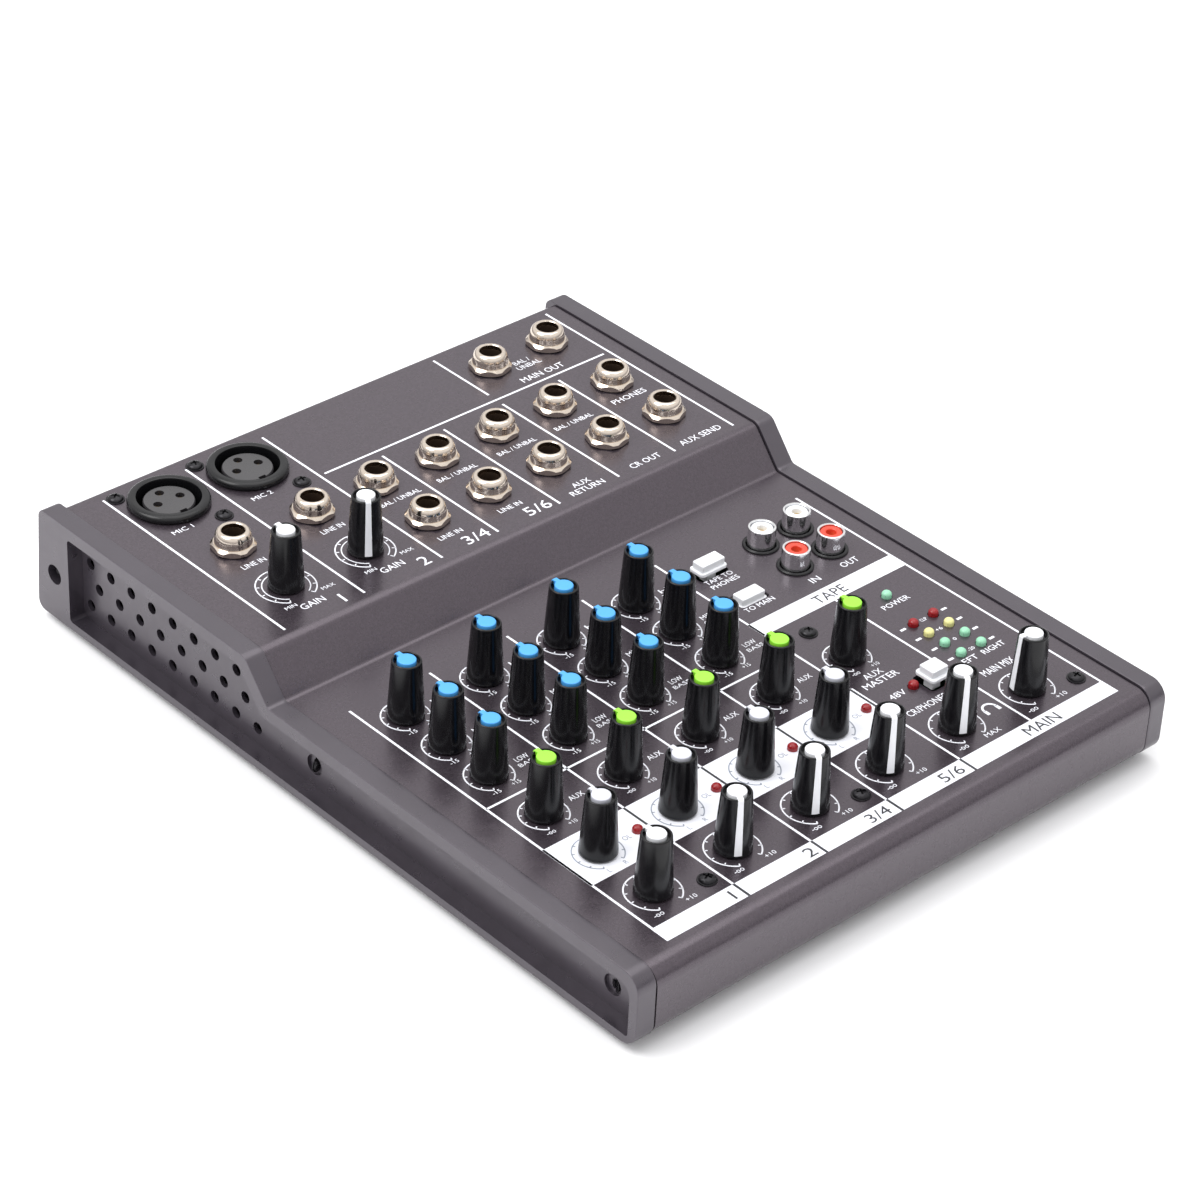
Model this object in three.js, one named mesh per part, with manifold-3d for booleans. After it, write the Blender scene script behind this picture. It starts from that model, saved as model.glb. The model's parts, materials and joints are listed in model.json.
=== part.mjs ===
// A compact desktop mixing console: a bent steel top panel with two level decks joined by a
// slanted step, a steel base tray, two moulded end cheeks with vented recesses, two circuit
// boards with their potentiometers, and the knobs, buttons and sockets that pass the panel.
//
// Drawing axes, in millimetres: x from the left cheek's outer face, y from the front face,
// z up from the cheeks' lower edge. The console group then puts the origin on the ground,
// under the middle of the object: +X right, +Y to the rear, +Z up.

import * as THREE from 'three';
import { mergeVertices } from 'three/addons/utils/BufferGeometryUtils.js';
import Module from 'manifold-3d';

const wasm = await Module();
wasm.setup();

// ---- Driving dimensions ----

const WIDTH = 198;
const DEPTH = 252;
const FOOT_HEIGHT = 2.5;
const GAP = 0.3; // clearance between touching pieces
const SHEET = 1.2; // steel sheet thickness
const BOARD = 1.6; // circuit board thickness

const LOWER_DECK = 22.1; // surface heights of the two decks
const UPPER_DECK = 33.8;
const STEP_FRONT = 146.6; // where the slanted step meets the lower deck
const STEP_REAR = 156.5; // where it meets the upper deck
const PANEL_REAR = 247.6;
const PANEL_LIP = 14; // how far the panel runs back under the front edge
const REAR_LIP = 5; // how far it turns down at the rear
const REAR_EDGE_RADIUS = 2.5;
const EDGE_RADIUS = 5.5; // the front edges of panel and cheeks
const STEP_TOP_RADIUS = 4;
const STEP_FOOT_RADIUS = 2;
const TRAY_FLANGE = { front: 30, height: 6 };

const CHEEK = 6.3; // cheek thickness
const CHEEK_PROUD = 0.7; // how far a cheek stands above the panel
const RECESS_DEPTH = 5;
const RECESS_BAND = 4; // cheek rim above the recess
const RECESS_SILL = 2.8; // cheek rim below the recess
const RECESS_FRONT = 3;
const RECESS_REAR = 236.6;
const VENT_RADIUS = 1.8;
const VENT_PITCH = 9.5;
const VENT_ROWS = [
  { z: 22.4, rear: 232.6, count: 8 },
  { z: 15.4, rear: 228.8, count: 8 },
  { z: 8.0, rear: 233, count: 9 },
];
const CHEEK_SCREWS = [[243.4, 15.2], [132.4, 9.8], [14.2, 9.8]]; // y, z
const COUNTERBORE_RADIUS = 3.1;
const COUNTERBORE_DEPTH = 3.6;
const SCREW_SINK = 0.9; // how far a screw seat goes into the floor of the recess
const SCREW_HOLE_RADIUS = 1.6;

// The six columns and six rows of the lower deck's controls.
const COLUMN_FIRST = 27.3;
const COLUMN_PITCH = 28.0;
const ROW = { hi: 121.3, mid: 104.3, low: 87.3, aux: 65.7, pan: 44.8, level: 24.2 };
const GAIN_X = [30.4, 58.6];
const GAIN_Y = 176.4;

const KNOB_BASE_RADIUS = 5.25;
const KNOB_TOP_RADIUS = 4.15;
const KNOB_HEIGHT = 18.7; // top of the coloured insert above the deck
const KNOB_RIM = 18.3; // rim of the cap around the insert
const KNOB_LIFT = 0.5; // gap between skirt and deck
const INSERT_RADIUS = 2.65;
const KNOB_EDGE = 0.5;
const SHAFT_RADIUS = 2.9;
const SHAFT_REACH = 7.5; // how far the shaft goes below the deck's surface
const PANEL_SHAFT_HOLE = 3.6;
const POT_SIZE = 9.6;
const POT_TOP = 3.2; // pot body's top below the deck's surface
const POT_BORE_RADIUS = 3.45;
const POT_BORE_DEPTH = 8;

const JACK_COLUMN_FIRST = 82.3;
const JACK_COLUMN_PITCH = 22.92;
const JACK_ROW_FRONT = 177.6;
const JACK_ROW_MIDDLE = 200.4;
const JACK_ROW_REAR = 229.8;
const JACK_BORE = 3.3; // takes a 6.35 mm plug
const JACK_BODY_RADIUS = 6;
const JACK_DEPTH = 12;
const JACK_HEIGHT = 6.2; // top of the bushing above the deck
const SOCKET_SHOULDER = SHEET + 0.4; // socket bodies' top below the deck's surface

const INPUT_X = [30.8, 58.9];
const XLR_Y = 230;
const XLR_BEZEL_RADIUS = 12;
const XLR_BODY_RADIUS = 10.6;
const XLR_GROOVE_OUTER = 9.3;
const XLR_GROOVE_INNER = 7.5;
const XLR_PINS = [[-3.9, 0], [3.9, 0], [0, 4.5]];
const XLR_PIN_RADIUS = 1.35;

const RCA_CENTRE = [167.1, 114.1];
const RCA_PITCH = 14;
const RCA_BARREL = 4.15;
const RCA_HEIGHT = 6.4;

const BUTTON_X = 138.8;
const LINE_BUTTON = { y: 120.8, top: 4.2 };
const MONITOR_BUTTON = { y: 104.2, top: 1.7 };
const BUTTON_SIZE = [8.8, 4.4];
const BUTTON_FLANGE = [10.2, 5.8];
const PHANTOM_BUTTON = { x: 149.9, y: 43.4, top: 5 };
const PHANTOM_SIZE = [6.1, 5.4];
const PHANTOM_FLANGE = [7.4, 7.4];
const BUTTON_STEM = [3.4, 3.4];

const OVERLOAD_X = [41.1, 69.3, 97.4, 125.5];
const OVERLOAD_Y = 44.9;
const METER_X = [165.1, 173.2];
const METER_Y = [65.2, 59.2, 53.1, 46.9];
const POWER_LED = [169.4, 79.8];
const PHANTOM_LED = [143.5, 44.5];
const LED_RADIUS = 1.5;
const LED_HEIGHT = 0.9; // lens top above the deck

const BOARD_X = [12, 186];
const CONTROL_BOARD = { y: [12, 136], top: LOWER_DECK - 9.6 };
const JACK_BOARD = { y: [162, 240], top: UPPER_DECK - JACK_DEPTH - 0.4 };

const FOOT_X = 22;
const FOOT_Y = [24, 226];
const FOOT_RADIUS = 6;

const REAR_WALL = PANEL_REAR - SHEET - GAP; // outer face of the tray's rear wall
const INLET = { x: 88, z: 16, bore: 5.4, collar: 7.4 };
const INLET_HOUSING = { half: 8.5, front: 232 };
const ROCKER = { x: 118, z: 16, width: 12, height: 17 };
const ROCKER_HOUSING = { wall: 2, front: 230, depth: 11 };

// ---- Materials ----

function finish(color, roughness, metalness = 0) {
  return new THREE.MeshStandardMaterial({ color, roughness, metalness });
}

const LOOK = {
  panel: finish(0x625d64, 0.5, 0.3),
  cheek: finish(0x5d5860, 0.55),
  knob: finish(0x141416, 0.35),
  button: finish(0xe9ebee, 0.4),
  nickel: finish(0xc9c1b2, 0.25, 0.95),
  connector: finish(0x26262a, 0.5),
  phono: finish(0xb9b9bd, 0.25, 0.9),
  board: finish(0x1f4a33, 0.6),
  foot: finish(0x18181a, 0.9),
};

// ---- Solids ----

// The closed solid of a three.js geometry, its shared vertices merged and its
// zero-area triangles dropped.
function solid(geometry) {
  const bare = new THREE.BufferGeometry();
  bare.setAttribute('position', geometry.getAttribute('position').clone());
  if (geometry.index) bare.setIndex(Array.from(geometry.index.array));
  const merged = mergeVertices(bare, 1e-4);
  const index = merged.index.array;
  const kept = [];
  for (let i = 0; i < index.length; i += 3) {
    const [a, b, c] = [index[i], index[i + 1], index[i + 2]];
    if (a !== b && b !== c && c !== a) kept.push(a, b, c);
  }
  const mesh = new wasm.Mesh({
    numProp: 3,
    vertProperties: Float32Array.from(merged.getAttribute('position').array),
    triVerts: Uint32Array.from(kept),
  });
  return new wasm.Manifold(mesh);
}

function geometryOf(manifold) {
  const { vertProperties, triVerts } = manifold.getMesh();
  const geometry = new THREE.BufferGeometry();
  geometry.setAttribute('position', new THREE.BufferAttribute(Float32Array.from(vertProperties), 3));
  geometry.setIndex(Array.from(triVerts));
  geometry.computeVertexNormals();
  return geometry;
}

const joined = (solids) => solids.reduce((whole, piece) => whole.add(piece));
const cut = (body, tools) => body.subtract(joined(tools));

// A box between two corners.
function block(x0, x1, y0, y1, z0, z1) {
  const box = new THREE.BoxGeometry(x1 - x0, y1 - y0, z1 - z0);
  return solid(box.translate((x0 + x1) / 2, (y0 + y1) / 2, (z0 + z1) / 2));
}

// A box centred over a point of the plan.
function pad(x, y, [width, length], z0, z1) {
  return block(x - width / 2, x + width / 2, y - length / 2, y + length / 2, z0, z1);
}

// An upright round bar, or a hole through a deck.
function post(x, y, z0, z1, radius, sides) {
  const bar = new THREE.CylinderGeometry(radius, radius, z1 - z0, sides).rotateX(Math.PI / 2);
  return solid(bar.translate(x, y, (z0 + z1) / 2));
}

// A round bar along the x axis.
function crossBar(x0, x1, y, z, radius, sides) {
  const bar = new THREE.CylinderGeometry(radius, radius, x1 - x0, sides).rotateZ(Math.PI / 2);
  return solid(bar.translate((x0 + x1) / 2, y, z));
}

// A round bar along the y axis.
function longBar(x, y0, y1, z, radius, sides) {
  const bar = new THREE.CylinderGeometry(radius, radius, y1 - y0, sides);
  return solid(bar.translate(x, (y0 + y1) / 2, z));
}

// A body of revolution about the upright axis through the origin; the profile is a list of
// [radius, z] that goes up the outside.
function turned(profile, sides) {
  const points = profile.map(([radius, z]) => new THREE.Vector2(radius, z));
  return solid(new THREE.LatheGeometry(points, sides).rotateX(Math.PI / 2));
}

// The corners of a side view, [y, z, radius], with each corner rounded by its radius.
function rounded(corners, closed) {
  const points = [];
  corners.forEach(([y, z, radius = 0], i) => {
    const here = new THREE.Vector2(y, z);
    const atEnd = !closed && (i === 0 || i === corners.length - 1);
    if (radius === 0 || atEnd) {
      points.push(here);
      return;
    }
    const count = corners.length;
    const [beforeY, beforeZ] = corners[(i + count - 1) % count];
    const [afterY, afterZ] = corners[(i + 1) % count];
    const back = new THREE.Vector2(beforeY, beforeZ).sub(here).normalize();
    const on = new THREE.Vector2(afterY, afterZ).sub(here).normalize();
    const half = Math.acos(back.dot(on)) / 2;
    const centre = back.clone().add(on).normalize().multiplyScalar(radius / Math.sin(half)).add(here);
    const start = back.multiplyScalar(radius / Math.tan(half)).add(here).sub(centre);
    const end = on.multiplyScalar(radius / Math.tan(half)).add(here).sub(centre);
    const turn = Math.atan2(start.cross(end), start.dot(end));
    const steps = Math.max(2, Math.ceil(Math.abs(turn) / (Math.PI / 8)));
    for (let k = 0; k <= steps; k += 1) {
      const spoke = start.clone().rotateAround(new THREE.Vector2(), (turn * k) / steps);
      points.push(spoke.add(centre));
    }
  });
  return points;
}

// The same path moved sideways, to the right of its direction.
function offset(path, distance) {
  return path.map((point, i) => {
    const before = path[Math.max(i - 1, 0)];
    const after = path[Math.min(i + 1, path.length - 1)];
    const incoming = (i > 0 ? point.clone().sub(before) : after.clone().sub(point)).normalize();
    const outgoing = (i < path.length - 1 ? after.clone().sub(point) : incoming.clone()).normalize();
    const along = incoming.clone().add(outgoing).normalize();
    const reach = distance / along.dot(incoming);
    return new THREE.Vector2(point.x + along.y * reach, point.y - along.x * reach);
  });
}

// A side view (y, z) drawn out along x.
function across(outline, x0, x1) {
  const drawn = new THREE.ExtrudeGeometry(new THREE.Shape(outline), {
    depth: x1 - x0,
    bevelEnabled: false,
  });
  const turn = new THREE.Matrix4().makeBasis(
    new THREE.Vector3(0, 1, 0),
    new THREE.Vector3(0, 0, 1),
    new THREE.Vector3(1, 0, 0),
  );
  return solid(drawn.applyMatrix4(turn).translate(x0, 0, 0));
}

// A bent sheet whose outer face follows the path.
function bentSheet(path, x0, x1) {
  return across([...path, ...offset(path, SHEET).reverse()], x0, x1);
}

// ---- The object ----

const consoleGroup = new THREE.Group();
consoleGroup.position.set(-WIDTH / 2, -DEPTH / 2, FOOT_HEIGHT);

function place(name, manifold, look, x = 0, y = 0, z = 0) {
  const mesh = new THREE.Mesh(geometryOf(manifold), look);
  mesh.name = name;
  mesh.position.set(x, y, z);
  consoleGroup.add(mesh);
}

const column = (index) => COLUMN_FIRST + COLUMN_PITCH * index;
const jackColumn = (index) => JACK_COLUMN_FIRST + JACK_COLUMN_PITCH * index;

// Every knob: its name, place in the plan and deck.
const CHANNELS = ['ch1', 'ch2', 'ch34', 'ch56'];
const KNOBS = [
  { name: 'gain_knob_ch1', x: GAIN_X[0], y: GAIN_Y, deck: UPPER_DECK },
  { name: 'gain_knob_ch2', x: GAIN_X[1], y: GAIN_Y, deck: UPPER_DECK },
];
for (const [index, channel] of CHANNELS.entries()) {
  for (const row of Object.keys(ROW)) {
    KNOBS.push({ name: `${row}_knob_${channel}`, x: column(index), y: ROW[row], deck: LOWER_DECK });
  }
}
KNOBS.push({ name: 'aux_master_knob', x: column(4), y: ROW.aux, deck: LOWER_DECK });
KNOBS.push({ name: 'phones_level_knob', x: column(4), y: ROW.level, deck: LOWER_DECK });
KNOBS.push({ name: 'main_level_knob', x: column(5), y: ROW.level, deck: LOWER_DECK });

// Every quarter-inch jack: its name and place in the plan.
const JACKS = [
  { name: 'line_jack_ch1', x: INPUT_X[0], y: JACK_ROW_MIDDLE },
  { name: 'line_jack_ch2', x: INPUT_X[1], y: JACK_ROW_MIDDLE },
  { name: 'main_out_jack_left', x: jackColumn(3), y: JACK_ROW_REAR },
  { name: 'main_out_jack_right', x: jackColumn(4), y: JACK_ROW_REAR },
];
const JACK_PAIRS = ['ch34', 'ch56', 'aux_return', 'control_room'];
for (const [index, pair] of JACK_PAIRS.entries()) {
  JACKS.push({ name: `${pair}_jack_left`, x: jackColumn(index), y: JACK_ROW_MIDDLE });
  JACKS.push({ name: `${pair}_jack_right`, x: jackColumn(index), y: JACK_ROW_FRONT });
}
JACKS.push({ name: 'phones_jack', x: jackColumn(4), y: JACK_ROW_MIDDLE });
JACKS.push({ name: 'aux_send_jack', x: jackColumn(4), y: JACK_ROW_FRONT });

const LEDS = [
  POWER_LED,
  PHANTOM_LED,
  ...OVERLOAD_X.map((x) => [x, OVERLOAD_Y]),
  ...METER_X.flatMap((x) => METER_Y.map((y) => [x, y])),
];

const RCA_BARRELS = [-0.5, 0.5].flatMap((sideways) => [-0.5, 0.5].map((along) => [
  RCA_CENTRE[0] + sideways * RCA_PITCH,
  RCA_CENTRE[1] + along * RCA_PITCH,
]));

const BUTTONS = [
  { name: 'line_select_button', x: BUTTON_X, flange: BUTTON_FLANGE, ...LINE_BUTTON },
  { name: 'monitor_select_button', x: BUTTON_X, flange: BUTTON_FLANGE, ...MONITOR_BUTTON },
  { name: 'phantom_power_button', flange: PHANTOM_FLANGE, ...PHANTOM_BUTTON },
];
const RAISED_BUTTON_TOP = LINE_BUTTON.top;

// The top panel: one sheet from the rear lip, over both decks and round the front edge.
function topPanel() {
  const path = rounded([
    [PANEL_LIP, GAP],
    [0, GAP, EDGE_RADIUS],
    [0, LOWER_DECK, EDGE_RADIUS],
    [STEP_FRONT, LOWER_DECK, STEP_FOOT_RADIUS],
    [STEP_REAR, UPPER_DECK, STEP_TOP_RADIUS],
    [PANEL_REAR, UPPER_DECK, REAR_EDGE_RADIUS],
    [PANEL_REAR, UPPER_DECK - REAR_LIP],
  ], false);
  const sheet = bentSheet(path, CHEEK + GAP, WIDTH - CHEEK - GAP);
  const through = (x, y, deck, radius, sides) => post(x, y, deck - 3, deck + 1, radius, sides);
  const holes = [
    ...KNOBS.map(({ x, y, deck }) => through(x, y, deck, PANEL_SHAFT_HOLE, 10)),
    ...JACKS.map(({ x, y }) => through(x, y, UPPER_DECK, 5, 12)),
    ...INPUT_X.map((x) => through(x, XLR_Y, UPPER_DECK, XLR_BODY_RADIUS + 0.5, 20)),
    ...RCA_BARRELS.map(([x, y]) => through(x, y, LOWER_DECK, RCA_BARREL + 0.6, 14)),
    ...LEDS.map(([x, y]) => through(x, y, LOWER_DECK, LED_RADIUS + 0.35, 8)),
    ...BUTTONS.map(({ x, y, flange }) => {
      const opening = [flange[0] + 0.8, flange[1] + 0.8];
      return pad(x, y, opening, LOWER_DECK - 3, LOWER_DECK + 1);
    }),
  ];
  return cut(sheet, holes);
}

// The base tray: a floor with low side flanges and a rear wall, open above.
function baseTray() {
  const path = rounded([
    [REAR_WALL, UPPER_DECK - 2.5 * SHEET],
    [REAR_WALL, GAP, 2],
    [PANEL_LIP + GAP, GAP],
  ], false);
  const left = CHEEK + GAP;
  const right = WIDTH - CHEEK - GAP;
  const { front, height } = TRAY_FLANGE;
  const flange = (x) => block(x, x + SHEET, front, REAR_WALL - 4, 2 * GAP, height);
  const flanges = [flange(left + GAP), flange(right - GAP - SHEET)];
  const tray = joined([bentSheet(path, left, right), ...flanges]);
  return cut(tray, [
    longBar(INLET.x, REAR_WALL - 4, REAR_WALL + 1, INLET.z, INLET.collar + GAP, 20),
    block(
      ROCKER.x - ROCKER.width / 2 - 1,
      ROCKER.x + ROCKER.width / 2 + 1,
      REAR_WALL - 4,
      REAR_WALL + 1,
      ROCKER.z - ROCKER.height / 2 - 1,
      ROCKER.z + ROCKER.height / 2 + 1,
    ),
  ]);
}

// One end cheek, drawn as the left one. The recess runs along its outer face and the vents
// pass the recess floor.
function cheek() {
  const top = CHEEK_PROUD;
  const outline = rounded([
    [0, 0, EDGE_RADIUS],
    [0, LOWER_DECK + top, EDGE_RADIUS],
    [STEP_FRONT - 0.4, LOWER_DECK + top, STEP_FOOT_RADIUS],
    [STEP_REAR - 0.4, UPPER_DECK + top, STEP_TOP_RADIUS],
    [DEPTH - 1.8, UPPER_DECK + top, 3],
    [DEPTH, 4],
    [DEPTH, 0, 3],
  ], true);
  const lowerCeiling = LOWER_DECK + top - RECESS_BAND;
  const upperCeiling = UPPER_DECK + top - RECESS_BAND;
  const recess = rounded([
    [RECESS_FRONT, RECESS_SILL, 1],
    [RECESS_FRONT, lowerCeiling, 4],
    [STEP_FRONT + 2.4, lowerCeiling, 2],
    [STEP_REAR + 2.4, upperCeiling, 4],
    [RECESS_REAR, upperCeiling],
    [RECESS_REAR, RECESS_SILL],
  ], true);
  const tools = [across(recess, -1, RECESS_DEPTH)];
  for (const { z, rear, count } of VENT_ROWS) {
    for (let k = 0; k < count; k += 1) {
      tools.push(crossBar(RECESS_DEPTH - 1, CHEEK + 1, rear - k * VENT_PITCH, z, VENT_RADIUS, 8));
    }
  }
  for (const [y, z] of CHEEK_SCREWS) {
    const bore = y < RECESS_REAR ? RECESS_DEPTH + SCREW_SINK : COUNTERBORE_DEPTH;
    tools.push(crossBar(-1, bore, y, z, COUNTERBORE_RADIUS, 14));
    tools.push(crossBar(-1, CHEEK + 1, y, z, SCREW_HOLE_RADIUS, 8));
  }
  return cut(across(outline, 0, CHEEK), tools);
}

// The mirror image of a solid across the plane x = 0. Swapping two corners of every
// triangle keeps the mirrored faces outward.
function mirrored(manifold) {
  const geometry = geometryOf(manifold).scale(-1, 1, 1);
  const index = geometry.index.array;
  for (let i = 0; i < index.length; i += 3) {
    [index[i], index[i + 1]] = [index[i + 1], index[i]];
  }
  return solid(geometry);
}

// A knob, its insert and its shaft; the origin is on the deck's surface.
function knob() {
  return turned([
    [0, -SHAFT_REACH],
    [SHAFT_RADIUS, -SHAFT_REACH],
    [SHAFT_RADIUS, KNOB_LIFT],
    [KNOB_BASE_RADIUS, KNOB_LIFT],
    [KNOB_TOP_RADIUS, KNOB_RIM - KNOB_EDGE],
    [KNOB_TOP_RADIUS - KNOB_EDGE, KNOB_RIM],
    [INSERT_RADIUS, KNOB_RIM],
    [INSERT_RADIUS, KNOB_HEIGHT],
    [0, KNOB_HEIGHT],
  ], 12);
}

// A quarter-inch jack: body below the panel, neck through it, nut and domed bushing above.
function jack() {
  return turned([
    [JACK_BORE, -JACK_DEPTH],
    [JACK_BODY_RADIUS, -JACK_DEPTH],
    [JACK_BODY_RADIUS, -SOCKET_SHOULDER],
    [4.5, -SOCKET_SHOULDER],
    [4.5, GAP],
    [6.5, GAP],
    [6.3, 2.2],
    [5.6, 2.4],
    [5.2, 4.4],
    [4.2, JACK_HEIGHT],
    [JACK_BORE, JACK_HEIGHT],
    [JACK_BORE, -JACK_DEPTH],
  ], 12);
}

// A three-pole microphone socket: round body, ring groove for the plug's shell, and an
// insert with three pin holes.
function xlrSocket() {
  const shell = turned([
    [0, -JACK_DEPTH],
    [XLR_BEZEL_RADIUS - 0.6, -JACK_DEPTH],
    [XLR_BEZEL_RADIUS - 0.6, -SOCKET_SHOULDER],
    [XLR_BODY_RADIUS, -SOCKET_SHOULDER],
    [XLR_BODY_RADIUS, GAP],
    [XLR_BEZEL_RADIUS, GAP],
    [XLR_BEZEL_RADIUS - 0.8, 2.4],
    [XLR_GROOVE_OUTER, 2.4],
    [XLR_GROOVE_OUTER, -9],
    [XLR_GROOVE_INNER, -9],
    [XLR_GROOVE_INNER, 1],
    [0, 1],
  ], 20);
  return cut(shell, XLR_PINS.map(([x, y]) => post(x, y, -9, 3, XLR_PIN_RADIUS, 8)));
}

// Four phono sockets moulded on one housing.
function phonoBlock() {
  const half = RCA_PITCH / 2 + 6;
  const [x, y] = RCA_CENTRE;
  const top = LOWER_DECK - SOCKET_SHOULDER;
  const housing = block(x - half, x + half, y - half, y + half, LOWER_DECK - 8, top);
  const barrels = RCA_BARRELS.map(([bx, by]) => (
    post(bx, by, LOWER_DECK - 6, LOWER_DECK + RCA_HEIGHT, RCA_BARREL, 14)
  ));
  const bores = RCA_BARRELS.map(([bx, by]) => (
    post(bx, by, LOWER_DECK - 4, LOWER_DECK + RCA_HEIGHT + 1, 1.7, 8)
  ));
  return cut(joined([housing, ...barrels]), bores);
}

// A push button's cap, its flange and its stem, with the origin on the deck's surface and
// the cap's top at the given height.
function buttonCap(top, capSize, flangeSize) {
  const raised = top - RAISED_BUTTON_TOP;
  return joined([
    pad(0, 0, capSize, raised + 1, top),
    pad(0, 0, flangeSize, raised + 0.8, raised + 2),
    pad(0, 0, BUTTON_STEM, raised - 2.6, raised + 1),
  ]);
}

// A potentiometer body with the bearing bore for a knob's shaft.
function potBody(x, y, deck, boardTop) {
  const body = pad(x, y, [POT_SIZE, POT_SIZE], boardTop - 0.5, deck - POT_TOP);
  return body.subtract(post(x, y, deck - POT_BORE_DEPTH, deck, POT_BORE_RADIUS, 8));
}

// The lower board: potentiometers, switch bodies and indicator lamps on one plate.
function controlBoard() {
  const { y: extent, top } = CONTROL_BOARD;
  const parts = [block(...BOARD_X, ...extent, top - BOARD, top)];
  for (const { x, y, deck } of KNOBS) {
    if (deck === LOWER_DECK) parts.push(potBody(x, y, deck, top));
  }
  for (const { x, y, flange } of BUTTONS) {
    parts.push(pad(x, y, flange, top - 0.5, LOWER_DECK - 6.6));
  }
  for (const [x, y] of LEDS) {
    parts.push(post(x, y, top - 0.5, LOWER_DECK + LED_HEIGHT, LED_RADIUS, 6));
  }
  const half = RCA_PITCH / 2 + 6.5;
  const [x, y] = RCA_CENTRE;
  const phonoSeat = block(x - half, x + half, y - half, y + half, top - 0.2, top + 1);
  return joined(parts).subtract(phonoSeat);
}

// The upper board: the two gain potentiometers, and the power inlet and the switch
// housing that reach the rear wall.
function jackBoard() {
  const { y: extent, top } = JACK_BOARD;
  const wall = REAR_WALL - SHEET - GAP;
  const parts = [block(...BOARD_X, ...extent, top - BOARD, top)];
  for (const { x, y, deck } of KNOBS) {
    if (deck === UPPER_DECK) parts.push(potBody(x, y, deck, top));
  }
  const { half, front } = INLET_HOUSING;
  parts.push(block(INLET.x - half, INLET.x + half, front, wall, INLET.z - half, INLET.z + half));
  parts.push(longBar(INLET.x, wall - 1, REAR_WALL + 1.2, INLET.z, INLET.collar, 20));
  const around = (margin, y0, y1) => block(
    ROCKER.x - ROCKER.width / 2 - margin,
    ROCKER.x + ROCKER.width / 2 + margin,
    y0,
    y1,
    ROCKER.z - ROCKER.height / 2 - margin,
    ROCKER.z + ROCKER.height / 2 + margin,
  );
  parts.push(around(ROCKER_HOUSING.wall, ROCKER_HOUSING.front, wall));
  const well = around(0, wall - ROCKER_HOUSING.depth, wall + 1);
  const inletBore = longBar(INLET.x, REAR_WALL - 9, REAR_WALL + 2, INLET.z, INLET.bore, 16);
  return cut(joined(parts), [well, inletBore]);
}

// The power rocker, pivoted about a cross axis inside its well; the rest pose has the
// upper end pressed in.
function rocker() {
  const halfHigh = ROCKER.height / 2 - 0.8;
  const face = [[-4, -halfHigh], [4.4, -halfHigh], [2.6, 0], [1.2, halfHigh], [-4, halfHigh]];
  const outline = face.map(([y, z]) => new THREE.Vector2(y, z));
  const halfWide = ROCKER.width / 2 - 0.4;
  return across(outline, -halfWide, halfWide);
}

place('top_panel', topPanel(), LOOK.panel);
place('base_tray', baseTray(), LOOK.panel);
const leftCheek = cheek();
place('left_cheek', leftCheek, LOOK.cheek);
place('right_cheek', mirrored(leftCheek), LOOK.cheek, WIDTH);
place('control_board', controlBoard(), LOOK.board);
place('jack_board', jackBoard(), LOOK.board);
place('phono_block', phonoBlock(), LOOK.phono);

const knobBody = knob();
for (const { name, x, y, deck } of KNOBS) place(name, knobBody, LOOK.knob, x, y, deck);

const jackBody = jack();
for (const { name, x, y } of JACKS) place(name, jackBody, LOOK.nickel, x, y, UPPER_DECK);

const xlrBody = xlrSocket();
place('mic_socket_ch1', xlrBody, LOOK.connector, INPUT_X[0], XLR_Y, UPPER_DECK);
place('mic_socket_ch2', xlrBody, LOOK.connector, INPUT_X[1], XLR_Y, UPPER_DECK);

for (const { name, x, y, top, flange } of BUTTONS) {
  const capSize = name.startsWith('phantom') ? PHANTOM_SIZE : BUTTON_SIZE;
  place(name, buttonCap(top, capSize, flange), LOOK.button, x, y, LOWER_DECK);
}
place('power_rocker', rocker(), LOOK.connector, ROCKER.x, REAR_WALL - 3, ROCKER.z);

for (const [side, x] of [['left', FOOT_X], ['right', WIDTH - FOOT_X]]) {
  for (const [end, y] of [['front', FOOT_Y[0]], ['rear', FOOT_Y[1]]]) {
    const foot = turned([
      [0, -FOOT_HEIGHT],
      [FOOT_RADIUS - 0.6, -FOOT_HEIGHT],
      [FOOT_RADIUS, 0],
      [0, 0],
    ], 16);
    place(`foot_${end}_${side}`, foot, LOOK.foot, x, y);
  }
}

export default consoleGroup;
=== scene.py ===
import json
import math

import bpy
from mathutils import Matrix, Vector


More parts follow.
